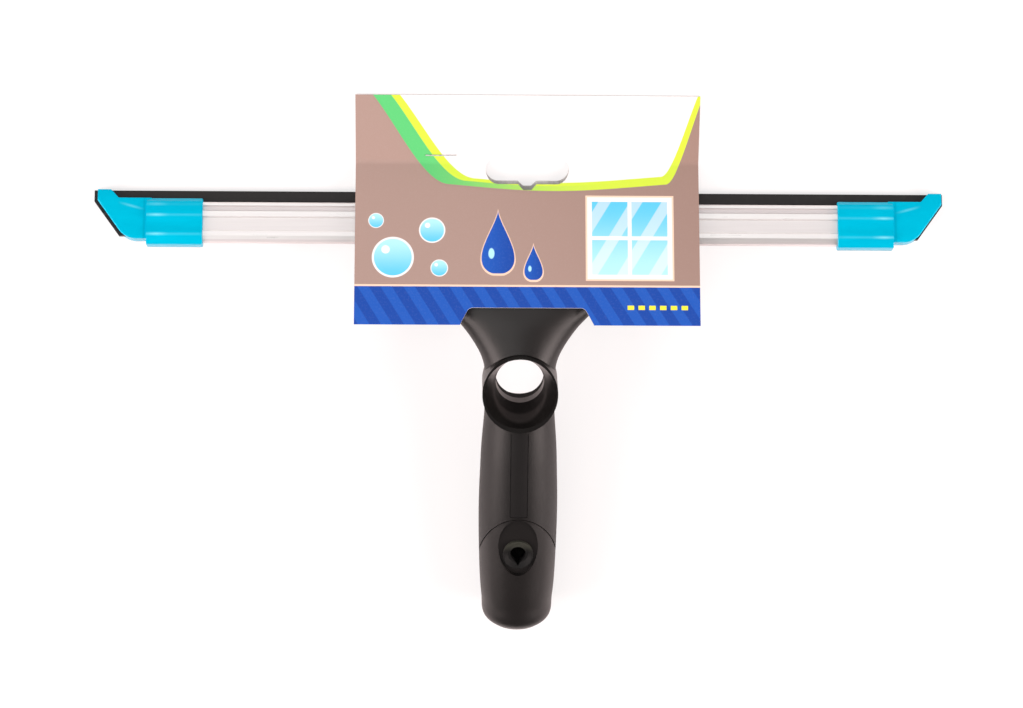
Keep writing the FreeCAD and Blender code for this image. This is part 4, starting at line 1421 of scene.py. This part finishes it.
    def cut(self, path: np.ndarray, row: np.ndarray) -> tuple[np.ndarray, np.ndarray]:
        """Cut the flat sheet: a grid with a row at each of the path's points, less the holes.

        Args:
            path: the sheet's middle line.
            row: how far along the sheet each of its points lies.

        Returns:
            The flat places (across, along), and the triangles between them.
        """
        half = self.width / 2
        between = np.arange(0.0, row[-1], self.row_gap)
        levels = np.unique(np.round(np.concatenate([row, between]), self.row_digits))
        across = np.linspace(-half, half, int(self.width / self.column_gap) + 1)
        grid = np.stack(np.meshgrid(across, levels), axis=-1).reshape(-1, 2)
        number = np.arange(len(grid)).reshape(len(levels), len(across))
        rims = number[:, [0, -1]]
        pairs = [(number[:, :-1], number[:, 1:]), (rims[:-1], rims[1:])]
        edges = [edge for a, b in pairs for edge in zip(a.ravel().tolist(), b.ravel().tolist())]
        points = [grid]
        count = len(grid)
        holes = self.holes(path, row)
        for outline in holes:
            points.append(outline)
            edges += [(count + i, count + (i + 1) % len(outline)) for i in range(len(outline))]
            count += len(outline)
        made, _, faces, *_ = delaunay_2d_cdt([Vector(p) for p in np.vstack(points)], edges, [], 0, self.join)
        places = np.array([list(p) for p in made])
        triangles = np.array([list(f) for f in faces])
        middles = places[triangles].mean(axis=1)
        keep = ~np.any([within(outline, middles) for outline in holes], axis=0)
        return places, triangles[keep]

    def build(self, frame: Frame) -> None:
        """Fold the cut sheet along its path, give it its thickness and its print, and dress the staple.

        A flat point (across, along) goes to the path's place that far along, moved across by X.

        Args:
            frame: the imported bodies.
        """
        path = self.path()
        row = self.rows(path)
        places, triangles = self.cut(path, row)
        y = np.interp(places[:, 1], row, path[:, 0]) + self.edge_y
        z = np.interp(places[:, 1], row, path[:, 1])
        piece = mesh_piece("card", np.column_stack([places[:, 0] + self.middle_x, y, z]), triangles[:, ::-1])
        self.map_sheet(piece, places, row[-1])
        walls = piece.modifiers.new("board", "SOLIDIFY")
        walls.thickness = self.board * self.wall_share
        walls.offset = 0.0
        walls.material_offset = 1
        walls.material_offset_rim = 1
        fold_row = float(row[int(np.argmax(path[:, 1]))])
        printed = CardPrint("card_print", self.width, float(row[-1]), fold_row)
        for finish in (printed, BareBoard("card_board")):
            piece.data.materials.append(frame.material(finish))
        settle(piece)
        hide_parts("card_sleeve")
        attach(piece, "card")
        LOG.info("built card: %d faces", len(piece.data.polygons))
        frame.dress("card_staple", self.staple)

    def map_sheet(self, piece: bpy.types.Object, places: np.ndarray, length: float) -> None:
        """Store each corner's place on the flat sheet as the UV map "sheet".

        Args:
            piece: the card.
            places: each vertex's place on the flat sheet.
            length: the sheet's length.
        """
        layer = piece.data.uv_layers.new(name="sheet")
        index = np.zeros(len(piece.data.loops), int)
        piece.data.loops.foreach_get("vertex_index", index)
        on_sheet = places[index] / np.array([self.width, length]) + np.array([0.5, 0.0])
        layer.data.foreach_set("uv", on_sheet.astype(np.float32).ravel())


@dataclass
class LeverSpring:
    """The small compression spring between the lever and the head, with its end turns closed.

    keep, the share of its height that is left when the lever is pressed, is not used.
    """

    centre_y: float
    bottom: float
    top: float
    outer: float = 3.25 * MM
    wire: float = 0.32 * MM
    turns: float = 6.5
    points: int = 420
    sides: int = 12
    closing: float = 0.82
    keep: float = 0.84
    steel: PlainSteel = PlainSteel("spring_wire", tone=(0.55, 0.55, 0.56), roughness=0.28)

    def path(self) -> np.ndarray:
        """The wire's middle line: a circle whose height eases in and out at the ends.

        Returns:
            Its points, one row each.
        """
        share = np.linspace(0.0, 1.0, self.points)
        angle = 2.0 * np.pi * self.turns * share
        eased = share - self.closing * np.sin(2.0 * np.pi * share) / (2.0 * np.pi)
        low, high = self.bottom + self.wire, self.top - self.wire
        radius = self.outer - self.wire
        y = self.centre_y + radius * np.sin(angle)
        return np.column_stack([radius * np.cos(angle), y, low + (high - low) * eased])

    def wound(self, path: np.ndarray) -> bpy.types.Object:
        """Sweep the wire's circle along the path, each ring square to the path's direction there.

        Args:
            path: the points of the middle line, one row each.

        Returns:
            The coil, closed at both ends.
        """
        along = np.gradient(path, axis=0)
        along /= np.linalg.norm(along, axis=1, keepdims=True)
        side = np.cross(along, (0.0, 0.0, 1.0))
        side /= np.linalg.norm(side, axis=1, keepdims=True)
        up = np.cross(side, along)
        angle = np.linspace(0.0, 2.0 * np.pi, self.sides, endpoint=False)[None, :, None]
        ring = np.cos(angle) * side[:, None, :] + np.sin(angle) * up[:, None, :]
        points = (path[:, None, :] + ring * self.wire).reshape(-1, 3)
        number = np.arange(len(points)).reshape(len(path), self.sides)
        after = np.roll(number, -1, axis=1)
        corners = (number[1:], after[1:], after[:-1], number[:-1])
        faces = np.stack([corner.ravel() for corner in corners], axis=1).tolist()
        return mesh_piece("lever_coil", points, [*faces, number[0].tolist(), number[-1, ::-1].tolist()])

    def build(self, frame: Frame) -> None:
        """Wind it and dress it.

        Args:
            frame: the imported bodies.
        """
        piece = self.wound(self.path())
        piece.data.materials.append(frame.material(self.steel))
        settle(piece)
        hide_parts("lever_spring")
        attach(piece, "handle")
        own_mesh(piece)
        LOG.info("built lever_coil: %d faces", len(piece.data.polygons))


@dataclass(frozen=True)
class Lamp:
    """A square soft lamp: where it hangs, what it points at, its side, its watts and its colour."""

    name: str
    place: Place
    aim: Place
    size: float
    power: float
    tint: Colour

    def hang(self) -> None:
        """Add it to the scene."""
        data = bpy.data.lights.new(self.name, "AREA")
        data.size = self.size
        data.energy = self.power
        data.color = self.tint
        lamp = linked(self.name, data)
        lamp.location = self.place
        lamp.rotation_euler = (Vector(self.place) - Vector(self.aim)).to_track_quat("Z", "Y").to_euler()


@dataclass(frozen=True)
class Light:
    """The colour and strength of an even light."""

    tint: Colour
    strength: float


@dataclass
class Studio:
    """Pale floor, soft lamps and the camera at the photograph's angle."""

    tilt: float = 18.8
    swing: float = -1.1
    roll: float = 0.26
    distance: float = 1.225
    target: Place = (-3.0 * MM, 1.9 * MM, 0.0)
    lens: float = 102.2
    sensor: float = 36.0
    daylight: Light = Light((1.0, 0.985, 0.975), 0.37)
    background: Light = Light((1.0, 1.0, 1.0), 1.0)
    sheen: Light = Light((1.0, 0.98, 0.97), 0.12)
    lamps: tuple[Lamp, ...] = (
        Lamp("key", (-0.5, 0.25, 1.5), (0.0, 0.0, 0.0), 1.1, 5.0, (1.0, 0.99, 0.98)),
        Lamp("front_panel", (0.0, 1.05, 1.1), (0.0, 0.05, 0.0), 1.3, 4.3, (1.0, 0.985, 0.98)),
    )
    panel: Lamp = Lamp("panel", (1.15, -0.15, 0.7), (0.0, 0.0, 0.02), 0.9, 19.0, (1.0, 0.86, 0.83))
    floor_half: float = 3.0
    floor_drop: float = 0.2 * MM
    floor_paint: Colour = (0.88, 0.83, 0.83)
    floor_glow: Light = Light((1.0, 1.0, 1.0), 1.06)
    floor_glow_share: float = 0.62

    def camera(self) -> None:
        """Stand the camera over the table, tipped to the blade, swung to the left and turned a little."""
        data = bpy.data.cameras.new("camera")
        data.lens = self.lens
        data.sensor_width = self.sensor
        tip, swing, turn = math.radians(self.tilt), math.radians(self.swing), math.radians(self.roll)
        flat = math.cos(swing)
        back = Vector((math.sin(swing), math.sin(tip) * flat, math.cos(tip) * flat))
        flat_up = back.cross(Vector((1.0, 0.0, 0.0))).normalized()
        side = flat_up.cross(back)
        right = side * math.cos(turn) + flat_up * math.sin(turn)
        up = flat_up * math.cos(turn) - side * math.sin(turn)
        place = Vector(self.target) + back * self.distance
        camera = linked("camera", data)
        camera.matrix_world = Matrix.Translation(place) @ Matrix((right, up, back)).transposed().to_4x4()
        bpy.context.scene.camera = camera

    def floor(self) -> None:
        """A wide floor that looks white from the camera and keeps a soft part of the shadow."""
        half, z = self.floor_half, -self.floor_drop
        points = np.array([(-half, -half, z), (half, -half, z), (half, half, z), (-half, half, z)])
        piece = mesh_piece("floor", points, [(0, 1, 2, 3)])
        material = bpy.data.materials.new("studio_floor")
        shader = Shader(material)
        rays = shader.node("ShaderNodeLightPath", {}, {})
        paint = shader.node("ShaderNodeBsdfDiffuse", {}, {"Color": self.floor_paint})
        light = {"Color": self.floor_glow.tint, "Strength": self.floor_glow.strength}
        glow = shader.node("ShaderNodeEmission", {}, light)
        share = Value(shader, rays.outputs["Is Camera Ray"]) * self.floor_glow_share
        mixed = shader.node("ShaderNodeMixShader", {}, {0: share, 1: paint.outputs[0], 2: glow.outputs[0]})
        shader.node("ShaderNodeOutputMaterial", {}, {0: mixed.outputs[0]})
        piece.data.materials.append(material)

    def world(self) -> None:
        """An even pale sky: white to the camera, softer as a light and dim in reflections."""
        world = bpy.data.worlds.new("studio_sky")
        bpy.context.scene.world = world
        shader = Shader(world)
        rays = shader.node("ShaderNodeLightPath", {}, {})
        light, plain, mirrored = (
            shader.node("ShaderNodeBackground", {}, {"Color": sky.tint, "Strength": sky.strength}).outputs[0]
            for sky in (self.daylight, self.background, self.sheen)
        )
        for ray, other in (("Is Glossy Ray", mirrored), ("Is Camera Ray", plain)):
            inputs = {0: rays.outputs[ray], 1: light, 2: other}
            light = shader.node("ShaderNodeMixShader", {}, inputs).outputs[0]
        shader.node("ShaderNodeOutputWorld", {}, {0: light})

    def build(self) -> None:
        """Set up camera, floor, sky and lamps, with a side panel at each end of the blade."""
        self.camera()
        self.floor()
        self.world()
        x, y, z = self.panel.place
        for lamp in self.lamps:
            lamp.hang()
        for side in Side:
            replace(self.panel, name=f"{side.name.lower()}_panel", place=(side.value * x, y, z)).hang()
        bpy.context.scene.view_settings.view_transform = "Standard"
        LOG.info("set up the studio")


def main() -> None:
    """Dress the frame, build the new pieces and light them, in order."""
    logging.basicConfig(level=logging.INFO, format="%(message)s")
    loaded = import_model()
    frame = Frame(loaded["nodes"])
    Blade().build(frame)
    Handle().build(frame)
    Lever().build(frame)
    low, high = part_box("card_sleeve")
    CardSleeve(high.y - CardSleeve.header, (low.x + high.x) / 2, high.x - low.x, high.z).build(frame)
    low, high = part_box("lever_spring")
    LeverSpring((low.y + high.y) / 2, low.z, high.z).build(frame)
    Studio().build()


if __name__ == "__main__":
    main()
